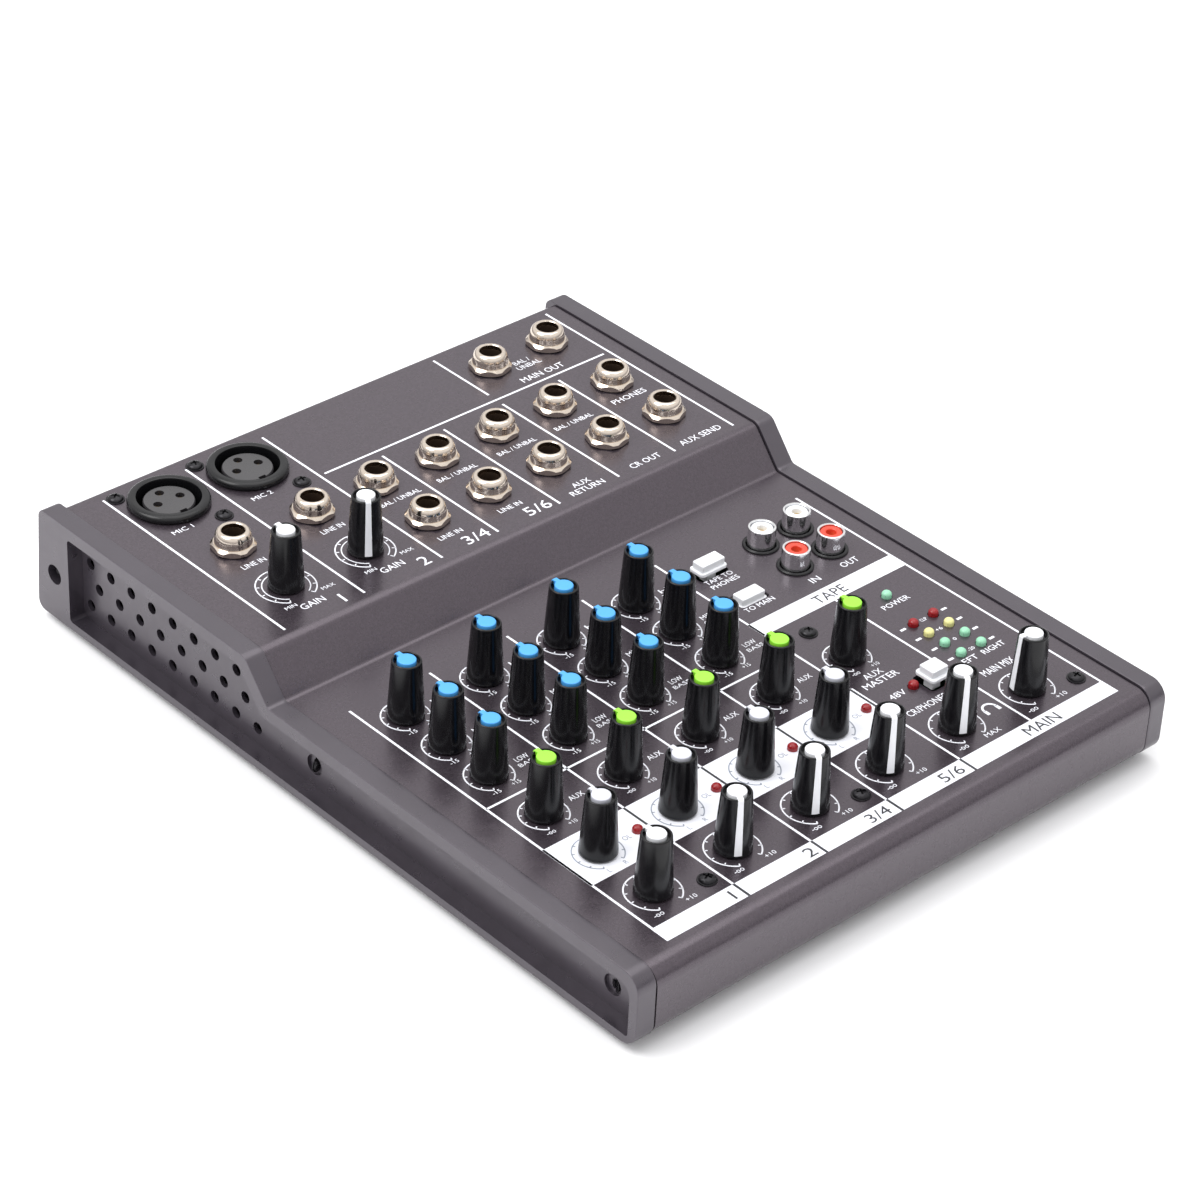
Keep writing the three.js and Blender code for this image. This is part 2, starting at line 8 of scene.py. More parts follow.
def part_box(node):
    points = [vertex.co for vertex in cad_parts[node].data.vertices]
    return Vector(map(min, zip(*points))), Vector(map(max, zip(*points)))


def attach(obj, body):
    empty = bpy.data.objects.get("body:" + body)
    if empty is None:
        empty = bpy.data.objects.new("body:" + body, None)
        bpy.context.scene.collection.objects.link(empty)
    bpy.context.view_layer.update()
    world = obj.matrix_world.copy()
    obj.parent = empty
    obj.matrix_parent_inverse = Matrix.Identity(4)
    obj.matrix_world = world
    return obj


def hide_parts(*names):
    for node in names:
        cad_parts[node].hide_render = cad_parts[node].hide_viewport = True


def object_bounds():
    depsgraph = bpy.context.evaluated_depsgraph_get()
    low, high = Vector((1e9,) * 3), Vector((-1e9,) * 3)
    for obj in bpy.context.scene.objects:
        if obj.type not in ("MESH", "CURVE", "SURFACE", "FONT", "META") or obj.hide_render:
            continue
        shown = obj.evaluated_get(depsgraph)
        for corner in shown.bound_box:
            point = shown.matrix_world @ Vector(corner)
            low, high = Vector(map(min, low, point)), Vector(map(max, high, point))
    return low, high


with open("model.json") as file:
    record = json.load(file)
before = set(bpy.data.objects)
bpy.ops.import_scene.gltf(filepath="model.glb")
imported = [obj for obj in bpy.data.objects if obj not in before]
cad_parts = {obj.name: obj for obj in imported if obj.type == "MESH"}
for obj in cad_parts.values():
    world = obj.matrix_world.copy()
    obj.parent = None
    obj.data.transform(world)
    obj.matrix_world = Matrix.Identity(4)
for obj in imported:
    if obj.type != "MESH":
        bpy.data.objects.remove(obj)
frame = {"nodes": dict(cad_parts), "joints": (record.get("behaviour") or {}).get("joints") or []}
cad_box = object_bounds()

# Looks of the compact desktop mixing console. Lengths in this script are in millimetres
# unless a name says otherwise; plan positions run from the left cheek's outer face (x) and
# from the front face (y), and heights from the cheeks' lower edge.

MM = 0.001
HOUSING = "housing"

# ---- The frame's places ----

ORIGIN = Vector((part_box("left_cheek")[0].x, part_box("left_cheek")[0].y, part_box("left_cheek")[0].z))
WIDTH = (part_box("right_cheek")[1].x - ORIGIN.x) / MM
DEPTH = (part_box("left_cheek")[1].y - ORIGIN.y) / MM
JOINTS = {joint["child"]: joint for joint in frame["joints"]}


def plan_centre(node):
    """The plan position of the middle of a CAD node."""
    low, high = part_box(node)
    return (((low.x + high.x) / 2 - ORIGIN.x) / MM, ((low.y + high.y) / 2 - ORIGIN.y) / MM)


def height_of(point):
    return (point[2] - ORIGIN.z) / MM


UPPER_DECK = height_of(JOINTS["gain_knob_ch1"]["pos_m"])
LOWER_DECK = height_of(JOINTS["level_knob_ch1"]["pos_m"])
CHEEK = (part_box("left_cheek")[1].x - ORIGIN.x) / MM
PANEL_REAR = (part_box("top_panel")[1].y - ORIGIN.y) / MM

KNOBS = [node for node in frame["nodes"] if "_knob" in node]
JACKS = [node for node in frame["nodes"] if "_jack" in node]
MIC_SOCKETS = ["mic_socket_ch1", "mic_socket_ch2"]
BUTTONS = [node for node in frame["nodes"] if node.endswith("_button")]
FEET = [node for node in frame["nodes"] if node.startswith("foot_")]

SHEET = 1.2
GAP = 0.3
STEP_FRONT = 146.6
STEP_REAR = 156.5
EDGE_RADIUS = 5.5

RCA_CENTRE = plan_centre("phono_block")
RCA_PITCH = 14.0
RCA_HEIGHT = 6.4
RCA_PLACES = [
    (RCA_CENTRE[0] + sx * RCA_PITCH / 2, RCA_CENTRE[1] + sy * RCA_PITCH / 2)
    for sx in (-1, 1)
    for sy in (-1, 1)
]
INLET = (88.0, 16.0) # x and z on the rear wall

CHEEK_PROUD = 0.7 # how far a cheek stands above the panel
CHEEK_SCREWS = ((243.4, 15.2), (132.4, 9.8), (14.2, 9.8)) # y and z
RECESS_DEPTH = 5.0
RECESS_FRONT = 3.0
RECESS_REAR = 236.6
RECESS_SILL = 2.8 # cheek rim below the recess
RECESS_BAND = 4.0 # cheek rim above it
VENT_RADIUS = 1.8
VENT_PITCH = 9.5
VENT_ROWS = ((22.4, 232.6, 8), (15.4, 228.8, 8), (8.0, 233.0, 9)) # z, rearmost y, count
GROOVE = (4.3, 5.0) # the stretch of a cheek's thickness that its groove takes
GROOVE_DEPTH = 0.9

# Each board's upper face and rear edge.
CONTROL_BOARD = (LOWER_DECK - 9.6, 136.0)
JACK_BOARD = (UPPER_DECK - 12.4, 240.0)
LAMINATE = 1.7

OVERLOAD_LEDS = [(x, 44.9) for x in (41.1, 69.3, 97.4, 125.5)]
METER_X = (165.1, 173.2)
METER_Y = (65.2, 59.2, 53.1, 46.9)
POWER_LED = (169.4, 79.8)
PHANTOM_LED = (143.5, 44.5)
METER_COLOURS = ("led_red", "led_yellow", "led_green", "led_green")
LEDS = [(*POWER_LED, "led_green"), (*PHANTOM_LED, "led_red")]
LEDS += [(x, y, "led_red") for x, y in OVERLOAD_LEDS]
LEDS += [(x, y, colour) for x in METER_X for y, colour in zip(METER_Y, METER_COLOURS)]

PANEL_SCREWS = {
    UPPER_DECK: [(20.0, 240.7), (66.8, 214.9), (38.8, 214.9), (48.1, 240.7)],
    LOWER_DECK: [(41.0, 18.8), (97.0, 19.0), (181.4, 18.8), (139.2, 80.8), (97.5, 79.7), (41.0, 79.7)],
}


# ---- Meshes ----

def to_world(point):
    x, y, z = point
    return Vector((ORIGIN.x + x * MM, ORIGIN.y + y * MM, ORIGIN.z + z * MM))


def make_object(name, vertices, faces, at=(0.0, 0.0, 0.0)):
    """A new object with its origin at the given place; vertices are relative to that place."""
    mesh = bpy.data.meshes.new(name)
    mesh.from_pydata([Vector(v) * MM for v in vertices], [], faces)
    mesh.validate()
    mesh.update()
    return add_object(name, mesh, at)


def add_object(name, mesh, at=(0.0, 0.0, 0.0)):
    obj = bpy.data.objects.new(name, mesh)
    bpy.context.scene.collection.objects.link(obj)
    obj.location = to_world(at)
    return obj


def evaluated_mesh(obj, name):
    bpy.context.view_layer.update()
    graph = bpy.context.evaluated_depsgraph_get()
    mesh = bpy.data.meshes.new_from_object(obj.evaluated_get(graph))
    mesh.name = name
    return mesh


def apply_modifiers(obj):
    mesh = evaluated_mesh(obj, obj.name)
    obj.modifiers.clear()
    old = obj.data
    obj.data = mesh
    bpy.data.meshes.remove(old)


def discard(obj):
    mesh = obj.data
    bpy.data.objects.remove(obj)
    bpy.data.meshes.remove(mesh)


def combine(obj, tools, operation):
    """Joins, cuts or intersects the object with the tools, which are used up."""
    for tool in tools:
        modifier = obj.modifiers.new("combine", "BOOLEAN")
        modifier.operation = operation
        modifier.solver = "EXACT"
        modifier.object = tool
    apply_modifiers(obj)
    for tool in tools:
        discard(tool)
    return obj


def merged(pieces):
    """One object holding the meshes of several that don't touch."""
    vertices, faces = [], []
    for piece in pieces:
        start = len(vertices)
        shift = (piece.location - ORIGIN) / MM
        vertices += [tuple(v.co / MM + shift) for v in piece.data.vertices]
        faces += [tuple(start + i for i in face.vertices) for face in piece.data.polygons]
    for piece in pieces:
        discard(piece)
    return make_object("merged", vertices, faces)


def soften(obj, width, segments=3, angle=40):
    """Rounds the edges sharper than the angle."""
    modifier = obj.modifiers.new("soften", "BEVEL")
    modifier.width = width * MM
    modifier.segments = segments
    modifier.limit_method = "ANGLE"
    modifier.angle_limit = math.radians(angle)
    modifier.use_clamp_overlap = True
    apply_modifiers(obj)
    return obj


def shade(obj, angle=35):
    """Smooth shading with the edges sharper than the angle kept crisp, and flats kept flat."""
    obj.data.shade_smooth()
    obj.data.set_sharp_from_angle(angle=math.radians(angle))
    modifier = obj.modifiers.new("flats", "WEIGHTED_NORMAL")
    modifier.keep_sharp = True
    apply_modifiers(obj)
    return obj


def circle(radius, sides, z, turn=0.0):
    steps = [turn + 2 * math.pi * k / sides for k in range(sides)]
    return [(radius * math.cos(a), radius * math.sin(a), z) for a in steps]


def loft(name, rings, at=(0.0, 0.0, 0.0), closed=False):
    """Skins rings of equal count; the ends are capped unless the rings close on themselves."""
    sides = len(rings[0])
    vertices = [point for ring in rings for point in ring]
    faces = []
    pairs = list(zip(range(len(rings) - 1), range(1, len(rings))))
    if closed:
        pairs.append((len(rings) - 1, 0))
    for low, high in pairs:
        for k in range(sides):
            j = (k + 1) % sides
            faces.append((low * sides + k, low * sides + j, high * sides + j, high * sides + k))
    if not closed:
        faces.append(tuple(reversed(range(sides))))
        faces.append(tuple((len(rings) - 1) * sides + k for k in range(sides)))
    return make_object(name, vertices, faces, at)


def turned(name, profile, at=(0.0, 0.0, 0.0), sides=48, closed=False):
    """A body of revolution from a profile of (radius, z) that goes up its outside."""
    return loft(name, [circle(radius, sides, z) for radius, z in profile], at, closed)


def prism(name, outline, x0, x1):
    """A side view (y, z) drawn out along x."""
    rings = [[(x, y, z) for y, z in outline] for x in (x0, x1)]
    return loft(name, rings)


def plate(name, outline, z0, z1, at=(0.0, 0.0, 0.0)):
    """A plan outline (x, y) drawn up from z0 to z1."""
    rings = [[(x, y, z) for x, y in outline] for z in (z0, z1)]
    return loft(name, rings, at)


def box_outline(width, length, radius=0.0, steps=4):
    """A rectangle's outline, anticlockwise, with rounded corners."""
    if radius == 0:
        w, h = width / 2, length / 2
        return [(-w, -h), (w, -h), (w, h), (-w, h)]
    points = []
    for quarter, (sx, sy) in enumerate([(1, -1), (1, 1), (-1, 1), (-1, -1)]):
        cx, cy = sx * (width / 2 - radius), sy * (length / 2 - radius)
        for k in range(steps + 1):
            a = math.pi / 2 * (quarter - 1 + k / steps)
            points.append((cx + radius * math.cos(a), cy + radius * math.sin(a)))
    return points


def bar(name, axis, radius, start, end, at, sides=24):
    """A round bar along the x or y axis, used to cut holes."""
    rings = []
    for reach in (start, end):
        if axis == "x":
            rings.append([(reach, a, b) for a, b, _ in circle(radius, sides, 0)])
        else:
            rings.append([(b, reach, a) for a, b, _ in circle(radius, sides, 0)])
    return loft(name, rings, at)


def rounded(corners, closed, step=math.pi / 24):
    """The path through (y, z, radius) corners, each rounded by its radius."""
    points = []
    count = len(corners)
    for i, corner in enumerate(corners):
        here = Vector(corner[:2])
        radius = corner[2] if len(corner) > 2 else 0
        if radius == 0 or (not closed and i in (0, count - 1)):
            points.append(here)
            continue
        back = (Vector(corners[i - 1][:2]) - here).normalized()
        on = (Vector(corners[(i + 1) % count][:2]) - here).normalized()
        half = math.acos(max(-1.0, min(1.0, back.dot(on)))) / 2
        centre = here + (back + on).normalized() * (radius / math.sin(half))
        start = here + back * (radius / math.tan(half)) - centre
        end = here + on * (radius / math.tan(half)) - centre
        sweep = math.atan2(start.x * end.y - start.y * end.x, start.dot(end))
        steps = max(3, math.ceil(abs(sweep) / step))
        for k in range(steps + 1):
            points.append(centre + Matrix.Rotation(sweep * k / steps, 2) @ start)
    return points


def offset(path, distance, closed=False):
    """The same path moved to the right of its direction."""
    moved = []
    count = len(path)
    for i, point in enumerate(path):
        before = path[i - 1] if closed or i > 0 else None
        after = path[(i + 1) % count] if closed or i < count - 1 else None
        outgoing = (after - point).normalized() if after is not None else None
        incoming = (point - before).normalized() if before is not None else outgoing
        outgoing = incoming if outgoing is None else outgoing
        along = (incoming + outgoing).normalized()
        reach = distance / along.dot(incoming)
        moved.append(Vector((point.x + along.y * reach, point.y - along.x * reach)))
    return moved


def bent_sheet(name, path, x0, x1):
    """A sheet whose outer face follows the path, built from quads along its length."""
    inner = offset(path, SHEET)
    loop = [tuple(p) for p in path] + [tuple(p) for p in reversed(inner)]
    count = len(path)
    rings = [[(x, y, z) for y, z in loop] for x in (x0, x1)]
    total = len(loop)
    vertices = rings[0] + rings[1]
    faces = [(k, (k + 1) % total, total + (k + 1) % total, total + k) for k in range(total)]
    for k in range(count - 1):
        far = total - 1 - k
        faces.append((k + 1, k, far, far - 1))
        faces.append((total + k, total + k + 1, total + far - 1, total + far))
    return make_object(name, vertices, faces)


# ---- Materials ----

def link(tree, source, target):
    tree.links.new(source, target)


def new_material(name, color, roughness, metallic=0.0, **sockets):
    material = bpy.data.materials.new(name)
    material.use_nodes = True
    shader = material.node_tree.nodes["Principled BSDF"]
    shader.inputs["Base Color"].default_value = (*color, 1.0)
    shader.inputs["Roughness"].default_value = roughness
    shader.inputs["Metallic"].default_value = metallic
    for socket, value in sockets.items():
        shader.inputs[socket.replace("_", " ")].default_value = value
    return material


def noise(tree, scale, detail=2.0, stretch=None):
    """A noise texture over the object's own coordinates, in cycles per metre."""
    place = tree.nodes.new("ShaderNodeTexCoord")
    texture = tree.nodes.new("ShaderNodeTexNoise")
    texture.inputs["Scale"].default_value = scale
    texture.inputs["Detail"].default_value = detail
    vector = place.outputs["Object"]
    if stretch:
        mapping = tree.nodes.new("ShaderNodeMapping")
        mapping.inputs["Scale"].default_value = stretch
        link(tree, vector, mapping.inputs["Vector"])
        vector = mapping.outputs["Vector"]
    link(tree, vector, texture.inputs["Vector"])
    return texture


def vary_color(material, dark, light, scale, detail=3.0, spread=(0.35, 0.65), stretch=None):
    """Lets the base colour wander between two tones."""
    tree = material.node_tree
    texture = noise(tree, scale, detail, stretch)
    ramp = tree.nodes.new("ShaderNodeValToRGB")
    ramp.color_ramp.elements[0].position = spread[0]
    ramp.color_ramp.elements[1].position = spread[1]
    ramp.color_ramp.elements[0].color = (*dark, 1.0)
    ramp.color_ramp.elements[1].color = (*light, 1.0)
    link(tree, texture.outputs["Fac"], ramp.inputs["Fac"])
    link(tree, ramp.outputs["Color"], tree.nodes["Principled BSDF"].inputs["Base Color"])


def vary_roughness(material, low, high, scale, stretch=None):
    tree = material.node_tree
    texture = noise(tree, scale, 3.0, stretch)
    spread = tree.nodes.new("ShaderNodeMapRange")
    spread.inputs["From Min"].default_value = 0.3
    spread.inputs["From Max"].default_value = 0.7
    spread.inputs["To Min"].default_value = low
    spread.inputs["To Max"].default_value = high
    link(tree, texture.outputs["Fac"], spread.inputs["Value"])
    link(tree, spread.outputs["Result"], tree.nodes["Principled BSDF"].inputs["Roughness"])


def add_bump(material, scale, depth, strength=1.0, detail=2.0, stretch=None):
    """Fine relief; depth is the height of the grain in millimetres."""
    tree = material.node_tree
    texture = noise(tree, scale, detail, stretch)
    bump = tree.nodes.new("ShaderNodeBump")
    bump.inputs["Strength"].default_value = strength
    bump.inputs["Distance"].default_value = depth * MM
    link(tree, texture.outputs["Fac"], bump.inputs["Height"])
    link(tree, bump.outputs["Normal"], tree.nodes["Principled BSDF"].inputs["Normal"])


def tone(color, factor):
    return tuple(min(1.0, c * factor) for c in color)


def moulded(name, color, roughness, grain=3200, depth=0.012, spread=0.10, **sockets):
    """A moulded plastic with faint tone changes and a fine spark-eroded grain."""
    material = new_material(name, color, roughness, **sockets)
    vary_color(material, tone(color, 1 - spread), tone(color, 1 + spread), 60, 4.0)
    vary_roughness(material, roughness - 0.04, roughness + 0.05, 220)
    add_bump(material, grain, depth, 0.6)
    return material


def powder_coat():
    color = (0.03, 0.024, 0.03)
    tint = (1.0, 0.88, 0.98, 1.0)
    material = new_material("powder_coat", color, 0.27, IOR=1.75, Specular_Tint=tint)
    vary_color(material, tone(color, 0.8), tone(color, 1.25), 1400, 2.0)
    vary_roughness(material, 0.23, 0.3, 260)
    add_bump(material, 2600, 0.006, 0.4)
    return material


def plated(name, color, low, high, grain):
    material = new_material(name, color, low, 1.0)
    vary_color(material, tone(color, 0.93), color, 900, 3.0)
    vary_roughness(material, low, high, 500, (1, 1, 4))
    add_bump(material, grain, 0.004, 0.4, 2.0, (1, 1, 6))
    return material


LOOK = {
    "paint": powder_coat(),
    "cheek": moulded("cheek_plastic", (0.03, 0.026, 0.033), 0.3, 3600, 0.01, 0.1, IOR=1.8,
                     Specular_Tint=(1.0, 0.92, 1.0, 1.0)),
    "knob": moulded("knob_plastic", (0.004, 0.004, 0.005), 0.22, 4200, 0.0012, 0.2,
                    Specular_IOR_Level=0.34),
    "bore": moulded("bore_lining", (0.03, 0.017, 0.01), 0.5, 2600, 0.006, 0.2),
    "blue": moulded("insert_blue", (0.07, 0.36, 0.8), 0.36, 3000, 0.004, 0.06),
    "green": moulded("insert_green", (0.3, 0.78, 0.045), 0.36, 3000, 0.004, 0.06),
    "white": moulded("insert_white", (0.86, 0.87, 0.9), 0.38, 3000, 0.004, 0.03),
    "grey": moulded("insert_grey", (0.62, 0.63, 0.7), 0.38, 3000, 0.004, 0.04),
    "grey_print": moulded("legend_grey_ink", (0.32, 0.35, 0.42), 0.5, 2600, 0.003, 0.06),
    "print": moulded("legend_ink", (0.86, 0.87, 0.93), 0.5, 2600, 0.003, 0.04),
    "dark_print": moulded("legend_dark_ink", (0.03, 0.03, 0.036), 0.5, 2600, 0.003, 0.1),
    "button": moulded("button_plastic", (0.83, 0.84, 0.87), 0.33, 3400, 0.004, 0.03),
    "black": moulded("black_plastic", (0.006, 0.006, 0.007), 0.24, 3600, 0.005, 0.2,
                     Specular_IOR_Level=0.36),
    "insert": moulded("socket_insert", (0.03, 0.028, 0.031), 0.26, 3600, 0.006, 0.1, IOR=1.7),
    "red": moulded("phono_red", (0.75, 0.06, 0.03), 0.35, 3000, 0.004, 0.08),
    "rubber": moulded("foot_rubber", (0.014, 0.014, 0.015), 0.75, 1800, 0.03, 0.2),
    "screw": moulded("screw_black", (0.02, 0.019, 0.022), 0.28, 1500, 0.004, 0.15, Metallic=0.6),
    "board": moulded("solder_mask", (0.012, 0.085, 0.035), 0.35, 900, 0.02, 0.25),
    "nickel": plated("warm_nickel", (0.72, 0.63, 0.54), 0.1, 0.2, 1600),
    "phono": plated("phono_plate", (0.8, 0.8, 0.81), 0.1, 0.18, 1800),
    "gold": plated("contact_gold", (0.85, 0.62, 0.25), 0.18, 0.26, 1600),
    "led_red": moulded("lens_red", (0.28, 0.006, 0.01), 0.2, 2000, 0.002, 0.05),
    "led_green": moulded("lens_green", (0.3, 0.66, 0.44), 0.25, 2000, 0.002, 0.04),
    "led_yellow": moulded("lens_yellow", (0.8, 0.76, 0.32), 0.25, 2000, 0.002, 0.04),
}


def finish(obj, look, body=HOUSING, stands_for=(), angle=35):
    """Shades a piece, gives it its material and hangs it on its body."""
    if angle:
        shade(obj, angle)
    obj.data.materials.clear()
    obj.data.materials.append(LOOK[look])
    return hang(obj, body, stands_for)


def hang(obj, body=HOUSING, stands_for=()):
    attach(obj, body)
    if stands_for:
        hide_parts(*stands_for)
    return obj


# ---- Camera, floor and light ----

AZIMUTH = math.radians(-43.97)
ELEVATION = math.radians(34.15)
ROLL = math.radians(2.87)
CAMERA_PLACE = Vector((-0.6122, -0.6375, 0.6286))
LENS = 115.1
SENSOR = 36.0


def aim(obj, place, toward, roll=0.0):
    direction = (toward - place).normalized()
    turn = direction.to_track_quat("-Z", "Y").to_matrix().to_4x4()
    obj.matrix_world = Matrix.Translation(place) @ turn @ Matrix.Rotation(roll, 4, "Z")


def add_camera():
    data = bpy.data.cameras.new("camera")
    data.lens = LENS
    data.sensor_width = SENSOR
    data.clip_start = 0.01
    camera = bpy.data.objects.new("camera", data)
    bpy.context.scene.collection.objects.link(camera)
    sight = Vector((
        -math.sin(AZIMUTH) * math.cos(ELEVATION),
        math.cos(AZIMUTH) * math.cos(ELEVATION),
        -math.sin(ELEVATION),
    ))
    aim(camera, CAMERA_PLACE, CAMERA_PLACE + sight, ROLL)
    bpy.context.scene.camera = camera


def add_area(name, place, size, power, toward=Vector((0.0, 0.0, 0.02)), color=(1.0, 1.0, 1.0)):
    data = bpy.data.lights.new(name, "AREA")
    data.shape = "RECTANGLE"
    data.size, data.size_y = size
    data.energy = power
    data.color = color
    lamp = bpy.data.objects.new(name, data)
    bpy.context.scene.collection.objects.link(lamp)
    aim(lamp, Vector(place), toward)


def add_studio():
    world = bpy.data.worlds.new("studio")
    world.use_nodes = True
    tree = world.node_tree
    place = tree.nodes.new("ShaderNodeTexCoord")
    split = tree.nodes.new("ShaderNodeSeparateXYZ")
    ramp = tree.nodes.new("ShaderNodeValToRGB")
    ramp.color_ramp.elements[0].position = 0.03
    ramp.color_ramp.elements[0].color = (0.35, 0.34, 0.36, 1.0)
    ramp.color_ramp.elements[1].position = 0.42
    ramp.color_ramp.elements[1].color = (1.0, 1.0, 1.0, 1.0)
    link(tree, place.outputs["Generated"], split.inputs["Vector"])
    link(tree, split.outputs["Z"], ramp.inputs["Fac"])
    link(tree, ramp.outputs["Color"], tree.nodes["Background"].inputs["Color"])
    tree.nodes["Background"].inputs["Strength"].default_value = 1.1
    bpy.context.scene.world = world
    bpy.context.scene.view_settings.view_transform = "Standard"
    add_area("key", (-0.75, 0.35, 1.1), (0.9, 0.7), 9.0)
    add_area("top", (0.2, 0.1, 1.3), (1.3, 1.3), 8.0)
    half, low = 3.0, cad_box[0].z
    corners = [(-half, -half, low), (half, -half, low), (half, half, low), (-half, half, low)]
    mesh = bpy.data.meshes.new("floor")
    mesh.from_pydata(corners, [], [(0, 1, 2, 3)])
    floor = bpy.data.objects.new("floor", mesh)
    bpy.context.scene.collection.objects.link(floor)
    pale = new_material("floor_paper", (0.93, 0.93, 0.94), 0.7)
    vary_color(pale, (0.92, 0.92, 0.93), (0.94, 0.94, 0.95), 3.0)
    mesh.materials.append(pale)


add_camera()
add_studio()


# ---- Housing ----

def top_panel():
    path = rounded([
        (14.0, GAP),
        (0.0, GAP, EDGE_RADIUS),
        (0.0, LOWER_DECK, EDGE_RADIUS),
        (STEP_FRONT, LOWER_DECK, 2.0),
        (STEP_REAR, UPPER_DECK, 4.0),
        (PANEL_REAR, UPPER_DECK, 2.5),
        (PANEL_REAR, UPPER_DECK - 5),
    ], False)
    panel = bent_sheet("top_panel_sheet", path, CHEEK + GAP, WIDTH - CHEEK - GAP)
    cutters = []

    def drill(x, y, deck, radius, sides=24):
        cutters.append(turned("drill", [(radius, -3.0), (radius, 1.0)], (x, y, deck), sides))

    for node in KNOBS:
        drill(*plan_centre(node), height_of(JOINTS[node]["pos_m"]), 3.6, 16)
    for node in JACKS:
        drill(*plan_centre(node), UPPER_DECK, 5.0, 16)
    for node in MIC_SOCKETS:
        drill(*plan_centre(node), UPPER_DECK, 11.1, 40)
    for x, y in RCA_PLACES:
        drill(x, y, LOWER_DECK, 4.75, 32)
    for x, y, _ in LEDS:
        drill(x, y, LOWER_DECK, 1.7, 20)
    for node in BUTTONS:
        low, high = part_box(node)
        width, length = (high.x - low.x) / MM + 0.8, (high.y - low.y) / MM + 0.8
        outline = box_outline(width, length, 1.2)
        cutters.append(plate("drill", outline, -3.0, 1.0, (*plan_centre(node), LOWER_DECK)))
    combine(panel, [merged(cutters)], "DIFFERENCE")
    finish(panel, "paint", HOUSING, ["top_panel"], 30)


def base_tray():
    wall = PANEL_REAR - SHEET - GAP
    path = rounded([
        (wall, UPPER_DECK - 2.5 * SHEET),
        (wall, GAP, 2.0),
        (14.3, GAP),
    ], False)
    tray = bent_sheet("base_tray_sheet", path, CHEEK + GAP, WIDTH - CHEEK - GAP)
    inlet = bar("drill", "y", 7.7, -4.0, 2.0, (INLET[0], wall, INLET[1]), 40)
    rocker_x = plan_centre("power_rocker")[0]
    outline = box_outline(14.0, 19.0, 1.0)
    rings = [[(x, y, z) for x, z in reversed(outline)] for y in (-4.0, 2.0)]
    opening = loft("drill", rings, (rocker_x, wall, INLET[1]))
    combine(tray, [inlet, opening], "DIFFERENCE")
    finish(tray, "paint", HOUSING, ["base_tray"], 30)


def cheek(side):
    """One moulded end cheek: rim, groove round its outer edge, recess, vents and screws."""
    lower, upper = LOWER_DECK + CHEEK_PROUD, UPPER_DECK + CHEEK_PROUD
    outline = rounded([
        (0.0, 0.0, EDGE_RADIUS),
        (DEPTH, 0.0, 3.0),
        (DEPTH, 4.0),
        (DEPTH - 1.8, upper, 3.0),
        (STEP_REAR - 0.4, upper, 4.0),
        (STEP_FRONT - 0.4, lower, 2.0),
        (0.0, lower, EDGE_RADIUS),
    ], True)
    body = prism(f"{side}_cheek_shell", [tuple(p) for p in outline], 0.0, CHEEK)
    soften(body, 0.35, 2, 60)
    recess = rounded([
        (RECESS_FRONT, RECESS_SILL, 1.0),
        (RECESS_REAR, RECESS_SILL, 1.2),
        (RECESS_REAR, upper - RECESS_BAND, 1.2),
        (STEP_REAR + 2.4, upper - RECESS_BAND, 4.0),
        (STEP_FRONT + 2.4, lower - RECESS_BAND, 2.0),
        (RECESS_FRONT, lower - RECESS_BAND, 4.0),
    ], True)
    tools = [prism("recess", [tuple(p) for p in recess], -1.0, RECESS_DEPTH)]
    outer = offset(outline, 1.0, True)
    inner = offset(outline, -GROOVE_DEPTH, True)
    near, far = GROOVE
    groove_rings = []
    for loop, x in ((outer, near), (inner, near), (inner, far), (outer, far)):
        groove_rings.append([(x, p.x, p.y) for p in loop])
    tools.append(loft("groove", groove_rings, closed=True))
    holes = []
    for z, rear, count in VENT_ROWS:
        for k in range(count):
            place = (0.0, rear - VENT_PITCH * k, z)
            holes.append(bar("vent", "x", VENT_RADIUS, RECESS_DEPTH - 1, CHEEK + 1, place))
    for y, z in CHEEK_SCREWS:
        depth = RECESS_DEPTH + 0.9 if y < RECESS_REAR else 3.6
        holes.append(bar("bore", "x", 3.1, -1.0, depth, (0.0, y, z), 32))
    tools.append(merged(holes))
    combine(body, tools, "DIFFERENCE")
    if side == "right":
        body.data.transform(Matrix.Scale(-1, 4, (1, 0, 0)))
        body.data.flip_normals()
        body.location = to_world((WIDTH, 0, 0))
    finish(body, "cheek", HOUSING, [f"{side}_cheek"], 30)


top_panel()
base_tray()
cheek("left")
cheek("right")


# ---- Knobs ----

KNOB_HEIGHT = 18.3 # the rim above the deck
KNOB_BASE = 5.25
KNOB_TOP = 4.15
RECESS_RADIUS = 3.55
INSERT_RADIUS = 2.65
INSERT_TOP = 18.7


def knob_radius(z):
    """The tapered side's radius at a height above the deck."""
    return KNOB_BASE + (KNOB_TOP - KNOB_BASE) * (z - 0.5) / (KNOB_HEIGHT - 0.5)


